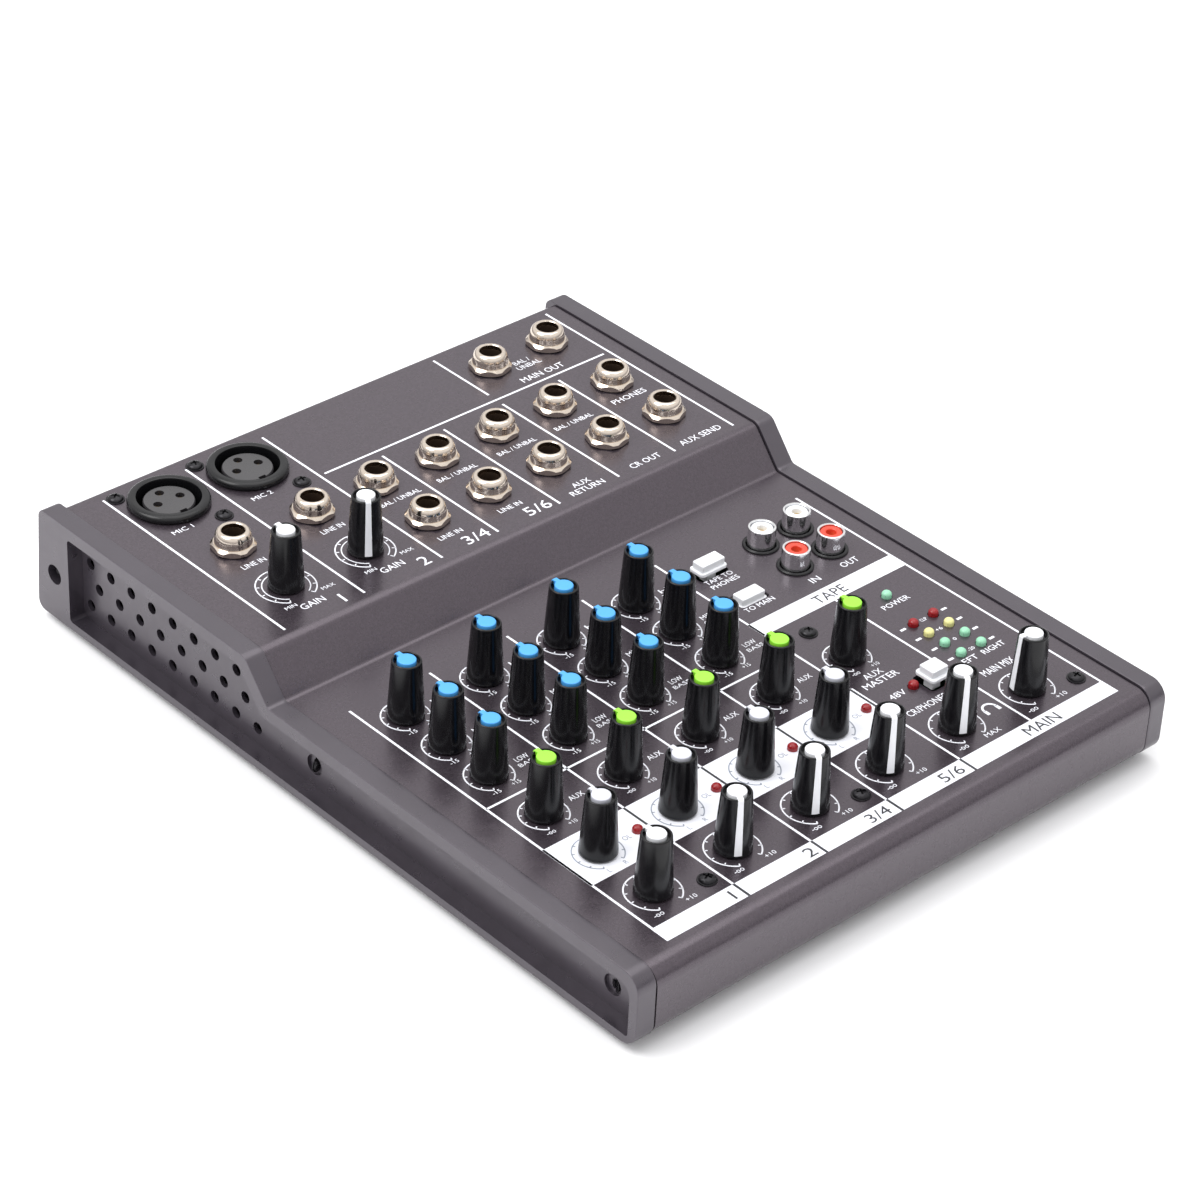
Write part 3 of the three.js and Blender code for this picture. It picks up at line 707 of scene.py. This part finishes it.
def knob_body_mesh():
    profile = [(0.4, -7.5), (2.7, -7.5), (2.9, -7.3), (2.9, 0.9), (4.7, 0.9), (4.9, 0.5), (5.13, 0.52)]
    profile += [(5.23, 0.65), (knob_radius(1.0), 1.0)]
    for z in (4.0, 8.0, 12.0, 16.0):
        profile.append((knob_radius(z), z))
    edge = 0.42
    for k in range(7):
        a = math.pi / 2 * k / 6
        profile.append((KNOB_TOP - edge + edge * math.cos(a), KNOB_HEIGHT - edge + edge * math.sin(a)))
    profile += [(RECESS_RADIUS + 0.12, KNOB_HEIGHT), (RECESS_RADIUS, KNOB_HEIGHT - 0.12)]
    profile += [(RECESS_RADIUS, KNOB_HEIGHT - 1.1), (RECESS_RADIUS - 0.1, KNOB_HEIGHT - 1.2)]
    profile += [(0.4, KNOB_HEIGHT - 1.2)]
    body = turned("knob_body", profile, sides=40)
    shade(body, 40)
    body.data.materials.append(LOOK["knob"])
    mesh = body.data
    bpy.data.objects.remove(body)
    return mesh


def knob_insert_mesh():
    """The coloured insert: a raised boss, a bar to the rim and the pointer down the side."""
    block = turned("boss", [
        (0.3, 16.8),
        (INSERT_RADIUS, 16.8),
        (INSERT_RADIUS, INSERT_TOP - 0.3),
        (INSERT_RADIUS - 0.12, INSERT_TOP - 0.1),
        (INSERT_RADIUS - 0.35, INSERT_TOP),
        (0.3, INSERT_TOP),
    ], sides=32)
    half_top, half_foot = 0.75, 1.05
    rings = []
    for y in (0.5, KNOB_TOP - 0.15, KNOB_TOP + 0.12):
        top = INSERT_TOP - 0.02 if y < KNOB_TOP - 0.2 else INSERT_TOP - (0.12 if y < KNOB_TOP else 0.5)
        rings.append([(-half_top, y, 17.3), (half_top, y, 17.3), (half_top, y, top), (-half_top, y, top)])
    crossbar = loft("crossbar", [list(reversed(ring)) for ring in rings])
    strip_rings = []
    for z in (1.3, 6.0, 11.0, 16.4, 18.15):
        radius = knob_radius(z) + 0.12
        half = half_foot + (half_top - half_foot) * (z - 1.3) / 16.8
        ring = []
        for k in range(5):
            a = (k / 2 - 1) * half / radius
            ring.append((radius * math.sin(a), radius * math.cos(a), z))
        for k in range(5):
            a = (1 - k / 2) * half / radius
            ring.append(((radius - 0.5) * math.sin(a), (radius - 0.5) * math.cos(a), z))
        strip_rings.append(list(reversed(ring)))
    strip = loft("strip", strip_rings)
    combine(block, [crossbar, strip], "UNION")
    shade(block, 40)
    mesh = block.data
    mesh.name = "knob_insert"
    bpy.data.objects.remove(block)
    return mesh


def insert_colour(node):
    if node.startswith(("hi", "mid", "low")):
        return "blue"
    if node.startswith("aux"):
        return "green"
    return "grey" if node.startswith("pan") else "white"


POT_LIMIT = 150.0 # degrees from twelve o'clock to either stop


def pointer_angle(node):
    """How far the pointer stands anticlockwise of twelve o'clock at rest, in radians."""
    return math.radians(POT_LIMIT - JOINTS[node]["range_deg"][1])


def knobs():
    body_mesh = knob_body_mesh()
    insert_base = knob_insert_mesh()
    inserts = {}
    for colour in ("blue", "green", "grey", "white"):
        mesh = insert_base.copy()
        mesh.name = f"knob_insert_{colour}"
        mesh.materials.clear()
        mesh.materials.append(LOOK[colour])
        inserts[colour] = mesh
    for node in KNOBS:
        x, y = plan_centre(node)
        deck = height_of(JOINTS[node]["pos_m"])
        turn = pointer_angle(node)
        body = add_object(f"{node}_body", body_mesh, (x, y, deck))
        insert = add_object(f"{node}_pointer", inserts[insert_colour(node)], (x, y, deck))
        for piece in (body, insert):
            piece.rotation_euler = (0, 0, turn)
        hang(body, node, [node])
        hang(insert, node)


knobs()


# ---- Sockets ----

def jack_metal_mesh():
    """A quarter-inch jack's hexagon nut and its domed bushing."""
    nut = loft("nut", [circle(7.0, 6, z, math.radians(15)) for z in (0.25, 2.3)])
    limit = turned("limit", [(5.9, 0.2), (6.55, 0.6), (6.55, 1.5), (5.7, 2.35)], sides=48)
    combine(nut, [limit], "INTERSECT")
    profile = [(3.3, -1.5), (4.4, -1.5), (4.4, 0.6), (5.3, 0.6), (5.55, 2.2), (5.4, 3.0)]
    for k in range(1, 9):
        a = math.pi / 2 * k / 8
        profile.append((3.9 + 1.5 * math.cos(a), 3.2 + 2.9 * math.sin(a)))
    profile += [(3.55, 6.05), (3.35, 5.85), (3.3, 5.5)]
    bushing = turned("bushing", profile, sides=48, closed=True)
    bore = turned("bore", [(4.6, -1.0), (4.6, 4.0)], sides=48)
    combine(nut, [bore], "DIFFERENCE")
    combine(nut, [bushing], "UNION")
    shade(nut, 30)
    nut.data.materials.append(LOOK["nickel"])
    mesh = nut.data
    bpy.data.objects.remove(nut)
    return mesh


def jack_body_mesh():
    """The dark moulded body below the panel, with the plug's way through it."""
    body = turned("jack_body", [
        (3.2, -12.0),
        (6.0, -12.0),
        (6.0, -1.6),
        (3.28, -1.55),
        (3.28, 4.5),
        (3.2, 4.6),
    ], sides=32, closed=True)
    shade(body, 30)
    body.data.materials.append(LOOK["bore"])
    mesh = body.data
    bpy.data.objects.remove(body)
    return mesh


def jacks():
    metal, body = jack_metal_mesh(), jack_body_mesh()
    for index, node in enumerate(JACKS):
        place = (*plan_centre(node), UPPER_DECK)
        nut = add_object(f"{node}_nut", metal, place)
        nut.rotation_euler = (0, 0, math.radians(4 * (index * 7 % 5) - 8))
        hang(nut, HOUSING, [node])
        hang(add_object(f"{node}_moulding", body, place), HOUSING)


def mic_socket(node):
    """A three-pole microphone socket: bezel, ring groove and insert with its contacts."""
    place = (*plan_centre(node), UPPER_DECK)
    profile = [(9.3, -9.0), (10.6, -9.0), (10.6, 0.3), (11.7, 0.3), (12.0, 0.55), (12.0, 1.1)]
    for k in range(7):
        a = math.pi / 2 * k / 6
        profile.append((10.6 + 1.4 * math.cos(a), 1.1 + 1.3 * math.sin(a)))
    profile += [(9.75, 2.4), (9.4, 2.25), (9.3, 1.9)]
    bezel = turned(f"{node}_bezel", profile, place, 64, True)
    finish(bezel, "black", HOUSING, [node], 40)
    core = turned(f"{node}_insert", [(7.0, -9.0), (7.5, -8.8), (7.5, 0.6), (7.2, 1.0)], place, 56)
    pins = [(-3.9, 0.0), (3.9, 0.0), (0.0, 4.5)]
    holes = [turned("pin_hole", [(1.35, -6.0), (1.35, 2.0)], (*plan_centre(node), UPPER_DECK), 24)
             for _ in pins]
    for hole, (dx, dy) in zip(holes, pins):
        hole.location += Vector((dx, dy, 0)) * MM
    key = plate("key", box_outline(2.4, 1.6), -6.0, 2.0, place)
    key.location += Vector((0, -7.2, 0)) * MM
    combine(core, holes + [key], "DIFFERENCE")
    finish(core, "insert", HOUSING, (), 35)
    floor = turned(f"{node}_floor", [(10.9, -11.9), (10.9, -9.3)], place, 48)
    finish(floor, "black", HOUSING, ())
    for number, (dx, dy) in enumerate(pins, 1):
        contact = turned(f"{node}_contact_{number}", [
            (0.75, -8.0),
            (1.2, -8.0),
            (1.2, -1.2),
            (0.75, -1.0),
        ], place, 20, True)
        contact.location += Vector((dx, dy, 0)) * MM
        finish(contact, "gold", HOUSING)


def phono_sockets():
    half = RCA_PITCH / 2 + 6
    housing = plate("phono_housing", box_outline(2 * half, 2 * half, 1.0), -8.0, -1.6,
                    (*RCA_CENTRE, LOWER_DECK))
    finish(housing, "black", HOUSING, ["phono_block"])
    for index, (x, y) in enumerate(RCA_PLACES):
        place = (x, y, LOWER_DECK)
        top = RCA_HEIGHT
        barrel = turned(f"phono_barrel_{index + 1}", [
            (3.35, -1.3),
            (4.15, -1.3),
            (4.15, top - 0.35),
            (4.05, top - 0.1),
            (3.85, top),
            (3.5, top),
            (3.35, top - 0.15),
        ], place, 48, True)
        finish(barrel, "phono", HOUSING, (), 40)
        collar = turned(f"phono_collar_{index + 1}", [
            (4.3, -1.3),
            (4.65, -1.3),
            (4.65, 0.05),
            (5.35, 0.1),
            (5.45, 0.3),
            (5.3, 0.6),
            (4.9, 0.75),
            (4.45, 0.55),
            (4.3, 0.3),
        ], place, 48, True)
        finish(collar, "black", HOUSING, (), 50)
        colour = "white" if index % 2 else "red"
        insulator = turned(f"phono_insulator_{index + 1}", [
            (1.55, -1.2),
            (3.3, -1.2),
            (3.3, top - 0.75),
            (3.1, top - 0.5),
            (1.75, top - 0.45),
            (1.55, top - 0.65),
        ], place, 40, True)
        finish(insulator, colour, HOUSING, (), 40)
        sleeve = turned(f"phono_contact_{index + 1}", [
            (0.8, -1.2),
            (1.5, -1.2),
            (1.5, top - 2.2),
            (0.8, top - 2.2),
        ], place, 24, True)
        finish(sleeve, "gold", HOUSING, (), 40)


def leds():
    for index, (x, y, colour) in enumerate(LEDS):
        profile = [(0.2, -3.0), (1.5, -3.0), (1.5, 0.75)]
        for k in range(1, 8):
            a = math.pi / 2 * k / 8
            profile.append((1.5 * math.cos(a), 0.75 + 1.2 * math.sin(a)))
        lens = turned(f"lamp_lens_{index + 1:02d}", profile, (x, y, LOWER_DECK), 28)
        finish(lens, colour, HOUSING, (), 50)


jacks()
for socket_node in MIC_SOCKETS:
    mic_socket(socket_node)
phono_sockets()
leds()


# ---- Buttons, screws, feet ----

def button(node):
    low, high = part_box(node)
    top = height_of(high) - LOWER_DECK
    width, length = (high.x - low.x) / MM, (high.y - low.y) / MM
    foot = top - 3.4
    cap_size = (6.1, 5.4) if node.startswith("phantom") else (8.8, 4.4)
    place = (*plan_centre(node), LOWER_DECK)
    flange = plate(f"{node}_flange", box_outline(width, length, 1.1, 6), foot, foot + 1.2, place)
    soften(flange, 0.3, 3)
    finish(flange, "button", node, (), 40)
    stem = plate(f"{node}_stem", box_outline(3.4, 3.4, 0.3), foot - 3.4, foot + 0.1, place)
    finish(stem, "button", node, (), 40)
    cap = plate(f"{node}_cap", box_outline(*cap_size, 0.5, 5), foot + 0.9, top, place)
    soften(cap, 0.3, 3)
    finish(cap, "button", node, [node], 40)


def screw_mesh():
    """A pan head with a cross recess, sitting on a thin washer."""
    profile = [(0.3, -0.6), (1.3, -0.6), (1.3, 0.0), (2.7, 0.0), (2.75, 0.1), (2.7, 0.3), (2.3, 0.32)]
    for k in range(7):
        a = math.pi / 2 * k / 7
        profile.append((2.3 * math.cos(a), 0.35 + 1.15 * math.sin(a)))
    head = turned("screw_head", profile, sides=32)
    slots = []
    for width, length in ((2.5, 0.6), (0.6, 2.5)):
        slots.append(plate("slot", box_outline(width, length), 0.7, 2.5))
    combine(head, slots, "DIFFERENCE")
    shade(head, 35)
    head.data.materials.append(LOOK["screw"])
    mesh = head.data
    mesh.name = "screw_head"
    bpy.data.objects.remove(head)
    return mesh


def screws():
    head = screw_mesh()
    count = 0
    for deck, places in PANEL_SCREWS.items():
        for x, y in places:
            count += 1
            piece = add_object(f"panel_screw_{count:02d}", head, (x, y, deck))
            piece.rotation_euler = (0, 0, count * 0.7)
            hang(piece)
    for side, turn in (("left", -math.pi / 2), ("right", math.pi / 2)):
        for number, (y, z) in enumerate(CHEEK_SCREWS, 1):
            seat = 6.0 if y < RECESS_REAR else 3.7
            x = seat if side == "left" else WIDTH - seat
            piece = add_object(f"{side}_cheek_screw_{number}", head, (x, y, z))
            piece.rotation_euler = (number * 0.9, turn, 0)
            piece.scale = (0.9, 0.9, 0.9)
            hang(piece)
    wall = PANEL_REAR - SHEET - GAP
    for number, (x, z) in enumerate([(14, 26), (14, 6), (184, 26), (184, 6), (140, 16), (60, 16)], 1):
        piece = add_object(f"rear_screw_{number}", head, (x, wall, z))
        piece.rotation_euler = (-math.pi / 2, 0, 0)
        hang(piece)
    for number, (x, y) in enumerate([(14, 60), (14, 180), (184, 60), (184, 180), (99, 30), (99, 220)], 1):
        piece = add_object(f"base_screw_{number}", head, (x, y, GAP))
        piece.rotation_euler = (math.pi, 0, number * 0.6)
        hang(piece)


def foot_mesh():
    profile = [(1.6, -1.4), (1.8, -2.3), (2.2, -2.5), (5.1, -2.5), (5.5, -2.2), (6.0, 0.0), (1.6, 0.0)]
    foot = turned("foot_pad", profile, sides=48, closed=True)
    shade(foot, 30)
    foot.data.materials.append(LOOK["rubber"])
    mesh = foot.data
    bpy.data.objects.remove(foot)
    return mesh


def feet():
    mesh = foot_mesh()
    for node in FEET:
        piece = add_object(f"{node}_pad", mesh, (*plan_centre(node), 0.0))
        hang(piece, HOUSING, [node])


for button_node in BUTTONS:
    button(button_node)
screws()
feet()


# ---- Legends ----

INK = 0.04 # thickness of a print
COLUMNS = [plan_centre(f"level_knob_{channel}")[0] for channel in ("ch1", "ch2", "ch34", "ch56")]
MASTERS = [plan_centre(node)[0] for node in ("phones_level_knob", "main_level_knob")]
ROWS = {row: plan_centre(f"{row}_knob_ch1")[1] for row in ("hi", "mid", "low", "aux", "pan", "level")}
GAINS = [plan_centre(node) for node in ("gain_knob_ch1", "gain_knob_ch2")]
DIVIDERS = (45.0, 72.9, 100.9, 128.9)
BORDERS = (16.9, 185.5)
STRIP = (7.4, 13.4)
TAPE_STRIP = (87.6, 94.1)
PAN_BAND = (35.6, 54.4)

# words, x, y, width, height
UPPER_WORDS = [
    ("MIC 1", 25.4, 216.5, 7.0, 1.9),
    ("MIC 2", 53.6, 216.5, 7.0, 1.9),
    ("LINE IN", 30.3, 190.6, 8.0, 2.0),
    ("LINE IN", 58.5, 190.7, 8.0, 2.0),
    ("GAIN", 30.8, 165.3, 8.0, 2.6),
    ("GAIN", 59.1, 165.4, 8.0, 2.6),
    ("1", 38.7, 162.2, 0.75, 4.2),
    ("2", 67.9, 162.2, 3.0, 4.2),
    ("3/4", 87.3, 162.4, 8.7, 4.2),
    ("5/6", 110.7, 162.7, 9.0, 4.2),
    ("LINE IN", 82.3, 167.7, 8.4, 1.9),
    ("LINE IN", 104.8, 167.9, 8.4, 1.9),
    ("BAL / UNBAL", 83.5, 191.0, 14.5, 1.9),
    ("BAL / UNBAL", 104.8, 191.0, 14.5, 1.9),
    ("BAL / UNBAL", 127.7, 191.0, 14.5, 1.9),
    ("BAL / UNBAL", 150.0, 191.0, 14.5, 1.9),
    ("PHONES", 172.7, 191.5, 13.0, 2.4),
    ("AUX", 129.2, 164.8, 6.5, 2.2),
    ("RETURN", 129.0, 161.7, 12.5, 2.3),
    ("CR OUT", 151.9, 162.0, 11.5, 2.4),
    ("AUX SEND", 174.2, 162.2, 16.0, 2.5),
    ("BAL /", 160.9, 226.8, 6.0, 2.1),
    ("UNBAL", 161.5, 223.9, 9.0, 2.1),
    ("MAIN OUT", 161.7, 218.0, 16.5, 2.6),
]
LOWER_WORDS = [
    ("-oo", 133.6, 16.2, 3.4, 1.3),
    ("MAX", 144.8, 16.2, 5.7, 1.7),
    ("-oo", 161.1, 16.2, 3.4, 1.3),
    ("+10", 172.4, 16.2, 4.0, 1.6),
    ("CR/PHONES", 140.1, 36.1, 15.0, 2.5),
    ("MAIN MIX", 168.6, 36.3, 12.4, 2.7),
    ("48V", 137.3, 44.5, 5.8, 2.3),
    ("AUX", 139.0, 55.6, 6.8, 2.4),
    ("MASTER", 138.8, 52.3, 12.9, 2.4),
    ("POWER", 169.2, 76.0, 10.3, 2.1),
    ("IN", 159.6, 98.6, 3.4, 2.4),
    ("OUT", 173.7, 98.8, 6.6, 2.4),
    ("TAPE TO", 138.8, 116.4, 10.3, 1.9),
    ("PHONES", 138.8, 113.7, 10.3, 1.9),
    ("TO MAIN", 138.5, 99.5, 11.0, 1.9),
    ("LEFT", 164.4, 43.6, 7.2, 2.1),
    ("RIGHT", 174.5, 43.5, 8.6, 2.1),
]


class Print:
    """Flat pieces of one ink colour, gathered into one mesh."""

    def __init__(self, name, look, lift=0.0):
        self.name, self.look, self.lift = name, look, lift
        self.vertices, self.faces = [], []

    def slab(self, outline, deck):
        """A closed flat piece over an anticlockwise outline."""
        start, count = len(self.vertices), len(outline)
        low = deck + 0.005 + self.lift
        self.vertices += [(x, y, low) for x, y in outline] + [(x, y, low + INK) for x, y in outline]
        sides = [(k, (k + 1) % count, count + (k + 1) % count, count + k) for k in range(count)]
        caps = [tuple(reversed(range(count))), tuple(range(count, 2 * count))]
        self.faces += [tuple(start + i for i in face) for face in sides + caps]

    def block(self, x0, x1, y0, y1, deck):
        self.slab([(x0, y0), (x1, y0), (x1, y1), (x0, y1)], deck)

    def rule(self, start, end, width, deck):
        """A straight line of the given width."""
        along = (Vector(end) - Vector(start)).normalized() * width / 2
        across = Vector((along.y, -along.x))
        a, b = Vector(start), Vector(end)
        self.slab([tuple(a + across), tuple(b + across), tuple(b - across), tuple(a - across)], deck)

    def arc(self, centre, radius, width, start, end, deck, steps=40):
        """A ring's stretch between two angles in degrees, anticlockwise from +X."""
        start_index, low = len(self.vertices), deck + 0.005 + self.lift
        for k in range(steps + 1):
            a = math.radians(start + (end - start) * k / steps)
            inner, high = radius - width, low + INK
            for r, z in ((inner, low), (radius, low), (radius, high), (inner, high)):
                self.vertices.append((centre[0] + r * math.cos(a), centre[1] + r * math.sin(a), z))
        for k in range(steps):
            for i in range(4):
                j = (i + 1) % 4
                quad = (4 * k + i, 4 * k + 4 + i, 4 * k + 4 + j, 4 * k + j)
                self.faces.append(tuple(start_index + n for n in reversed(quad)))
        for k, face in ((0, (3, 2, 1, 0)), (steps, (0, 1, 2, 3))):
            self.faces.append(tuple(start_index + 4 * k + n for n in reversed(face)))

    def text(self, words, x, y, width, height, deck):
        """Words centred on a place and fitted to a width and a height."""
        curve = bpy.data.curves.new("words", "FONT")
        curve.body = words
        curve.size = 1.0
        curve.extrude = 0.5
        curve.offset = 0.0
        curve.resolution_u = 2
        obj = bpy.data.objects.new("words", curve)
        bpy.context.scene.collection.objects.link(obj)
        mesh = evaluated_mesh(obj, "words")
        points = [vertex.co for vertex in mesh.vertices]
        left, right = min(p.x for p in points), max(p.x for p in points)
        low, high = min(p.y for p in points), max(p.y for p in points)
        start, middle = len(self.vertices), deck + 0.005 + self.lift + INK / 2
        for point in points:
            across = (point.x - (left + right) / 2) * width / (right - left)
            up = (point.y - (low + high) / 2) * height / (high - low)
            self.vertices.append((x + across, y + up, middle + point.z * INK))
        self.faces += [tuple(start + i for i in face.vertices) for face in mesh.polygons]
        bpy.data.objects.remove(obj)
        bpy.data.curves.remove(curve)
        bpy.data.meshes.remove(mesh)

    def finish(self):
        obj = make_object(self.name, self.vertices, self.faces)
        obj.data.validate()
        return finish(obj, self.look, HOUSING, (), 0)


white = Print("legend_white", "print")
band = Print("legend_bands", "print")
dark = Print("legend_dark", "dark_print", INK + 0.005)
grey = Print("legend_grey", "grey_print", INK + 0.005)


def scale(ink, centre, radius, deck, marks=11, tick=0.75, width=0.42):
    """A dial's ring from seven o'clock round to five, with ticks towards the knob."""
    ink.arc(centre, radius, width, -60, 240, deck)
    for k in range(marks):
        a = math.radians(-60 + 300 * k / (marks - 1))
        spoke = Vector((math.cos(a), math.sin(a)))
        inner = Vector(centre) + spoke * (radius - width - tick)
        outer = Vector(centre) + spoke * (radius - width / 2)
        ink.rule(tuple(inner), tuple(outer), 0.36, deck)


def deck_lines():
    """The ruled lines that part the channels."""
    low, up = LOWER_DECK, UPPER_DECK
    lower = [(x, STRIP[1], 132.4) for x in (*BORDERS, *DIVIDERS)]
    lower += [(156.8, STRIP[1], TAPE_STRIP[0])]
    upper = [(BORDERS[0], 159.9, 242.4), (DIVIDERS[0], 160.2, 241.0), (DIVIDERS[1], 160.1, 241.0)]
    upper += [(x, 160.3, 211.5) for x in (93.8, 117.2, 140.1, 162.4)]
    upper += [(185.7, 160.0, 243.5), (140.3, 218.0, 243.5)]
    for lines, deck in ((lower, low), (upper, up)):
        for x, start, end in lines:
            white.rule((x, start), (x, end), 0.7, deck)
    white.rule((BORDERS[0], 76.5), (DIVIDERS[-1], 76.5), 0.7, low)
    white.rule((74.8, 214.5), (183.5, 214.5), 0.7, up)


def strips():
    """The white bands: channel names in front, the tape section's title and the pan row."""
    low = LOWER_DECK
    band.block(BORDERS[0] - 0.4, BORDERS[1] + 0.4, *STRIP, low)
    band.block(DIVIDERS[-1] - 0.4, BORDERS[1] - 0.5, *TAPE_STRIP, low)
    band.block(BORDERS[0] - 0.4, DIVIDERS[-1] + 0.9, *PAN_BAND, low)
    for x in DIVIDERS:
        dark.rule((x, STRIP[0]), (x, STRIP[1]), 0.8, low)
        dark.rule((x - 0.1, PAN_BAND[0]), (x - 0.1, PAN_BAND[1]), 0.7, low)
    names = (("1", 41.7, 0.7), ("2", 69.4, 3.2), ("3/4", 94.6, 7.8), ("5/6", 122.4, 8.3))
    names += (("MAIN", 158.0, 13.0),)
    for name, x, width in names:
        dark.text(name, x, 10.3, width, 3.7, low)
    dark.text("TAPE", 157.6, 90.7, 12.0, 3.7, low)


def dials():
    """The scales round the knobs and the words that go with them."""
    low, up = LOWER_DECK, UPPER_DECK
    for number, x in enumerate(COLUMNS):
        for row, words in (("hi", ("HI", "TREBLE")), ("mid", ("MID", "CENTRE")), ("low", ("LOW", "BASS"))):
            y = ROWS[row]
            scale(white, (x, y), 7.0, low)
            white.text("-15", x - 3.4, y - 6.9, 2.8, 1.4, low)
            white.text("+15", x + 3.4, y - 6.9, 2.8, 1.4, low)
            white.text(words[0], x + 11.6, y + 0.4, 4.4, 1.9, low)
            white.text(words[1], x + 11.6, y - 2.1, 6.0, 1.5, low)
        y = ROWS["aux"]
        scale(white, (x, y), 7.0, low)
        white.text("-oo", x - 3.8, y - 7.2, 2.8, 1.1, low)
        white.text("+10", x + 3.6, y - 7.2, 2.8, 1.4, low)
        white.text("AUX", x + 11.6, y + 0.4, 5.0, 1.9, low)
        y = ROWS["pan"]
        scale(grey, (x, y), 7.1, low, 11, 0.6, 0.35)
        grey.text("L", x - 2.8, y - 7.4, 0.9, 1.5, low)
        grey.text("R", x + 2.8, y - 7.4, 1.1, 1.5, low)
        grey.text("OL", OVERLOAD_LEDS[number][0] - 4.0, 44.7, 2.6, 1.8, low)
        y = ROWS["level"]
        scale(white, (x, y), 7.85, low)
        white.text("-oo", x - 5.3, y - 7.9, 3.2, 1.2, low)
        white.text("+10", x + 5.8, y - 7.9, 3.6, 1.5, low)
    for x in MASTERS:
        scale(white, (x, ROWS["level"]), 7.85, low)
    scale(white, (MASTERS[0], ROWS["aux"]), 7.0, low)
    white.text("-oo", MASTERS[0] - 3.8, ROWS["aux"] - 7.2, 2.8, 1.1, low)
    white.text("+10", MASTERS[0] + 3.6, ROWS["aux"] - 7.2, 2.8, 1.4, low)
    for x, y in GAINS:
        scale(white, (x, y), 8.7, up, 11, 0.9, 0.4)
        white.arc((x, y), 6.9, 0.35, -60, 240, up)
        white.text("MIN", x - 5.4, y - 8.9, 3.8, 1.4, up)
        white.text("MAX", x + 8.8, y - 7.4, 4.4, 1.4, up)


def section_names():
    """Names beside the sockets, buttons and lamps, and the marks of the meter."""
    for words, deck in ((UPPER_WORDS, UPPER_DECK), (LOWER_WORDS, LOWER_DECK)):
        for word, x, y, width, height in words:
            white.text(word, x, y, width, height, deck)
    for y, mark in zip(METER_Y, ("CLIP", "+6", "0", "-20")):
        white.text(mark, sum(METER_X) / 2, y, 2.4 if len(mark) > 1 else 1.0, 1.3, LOWER_DECK)
        for x in (161.0, 177.5):
            white.block(x - 1.0, x + 1.0, y - 0.4, y + 0.4, LOWER_DECK)
    white.arc((152.3, 23.9), 2.6, 0.7, 0, 180, LOWER_DECK, 16)
    for x in (150.1, 154.5):
        white.block(x - 0.55, x + 0.55, 22.2, 24.1, LOWER_DECK)


deck_lines()
strips()
dials()
section_names()
for ink in (white, band, dark, grey):
    ink.finish()


# ---- Rear power section ----

def power_section():
    wall = PANEL_REAR - SHEET - GAP
    x, z = INLET
    rings = []
    for radius, y in ((5.4, -8.6), (7.4, -8.6), (7.4, 0.9), (7.1, 1.2), (5.7, 1.2), (5.4, 0.9)):
        rings.append([(b, y, a) for a, b, _ in circle(radius, 48, 0)])
    collar = loft("power_inlet_collar", rings, (x, wall, z), True)
    finish(collar, "black", HOUSING, (), 40)
    rings = [[(b, y, a) for a, b, _ in circle(5.3, 40, 0)] for y in (-8.6, -7.4)]
    finish(loft("power_inlet_floor", rings, (x, wall, z)), "black", HOUSING)
    for number in range(3):
        a = math.radians(90 + 120 * number)
        pin = bar(f"power_inlet_pin_{number + 1}", "y", 0.7, -7.5, -1.5,
                  (x + 3.0 * math.cos(a), wall, z + 3.0 * math.sin(a)), 16)
        finish(pin, "gold", HOUSING)
    rocker = frame["nodes"]["power_rocker"]
    rocker.data.materials.clear()
    rocker.data.materials.append(LOOK["black"])


def dress_board(node, top, rear):
    """Solder mask on the laminate, black plastic on the housings that stand on it."""
    board = frame["nodes"][node]
    board.data.materials.clear()
    for look in ("board", "black"):
        board.data.materials.append(LOOK[look])
    for face in board.data.polygons:
        middle = (board.matrix_world @ face.center - ORIGIN) / MM
        laminate = top - LAMINATE < middle.z < top + 0.05 and middle.y < rear + 0.05
        face.material_index = 0 if laminate else 1


power_section()
dress_board("control_board", *CONTROL_BOARD)
dress_board("jack_board", *JACK_BOARD)
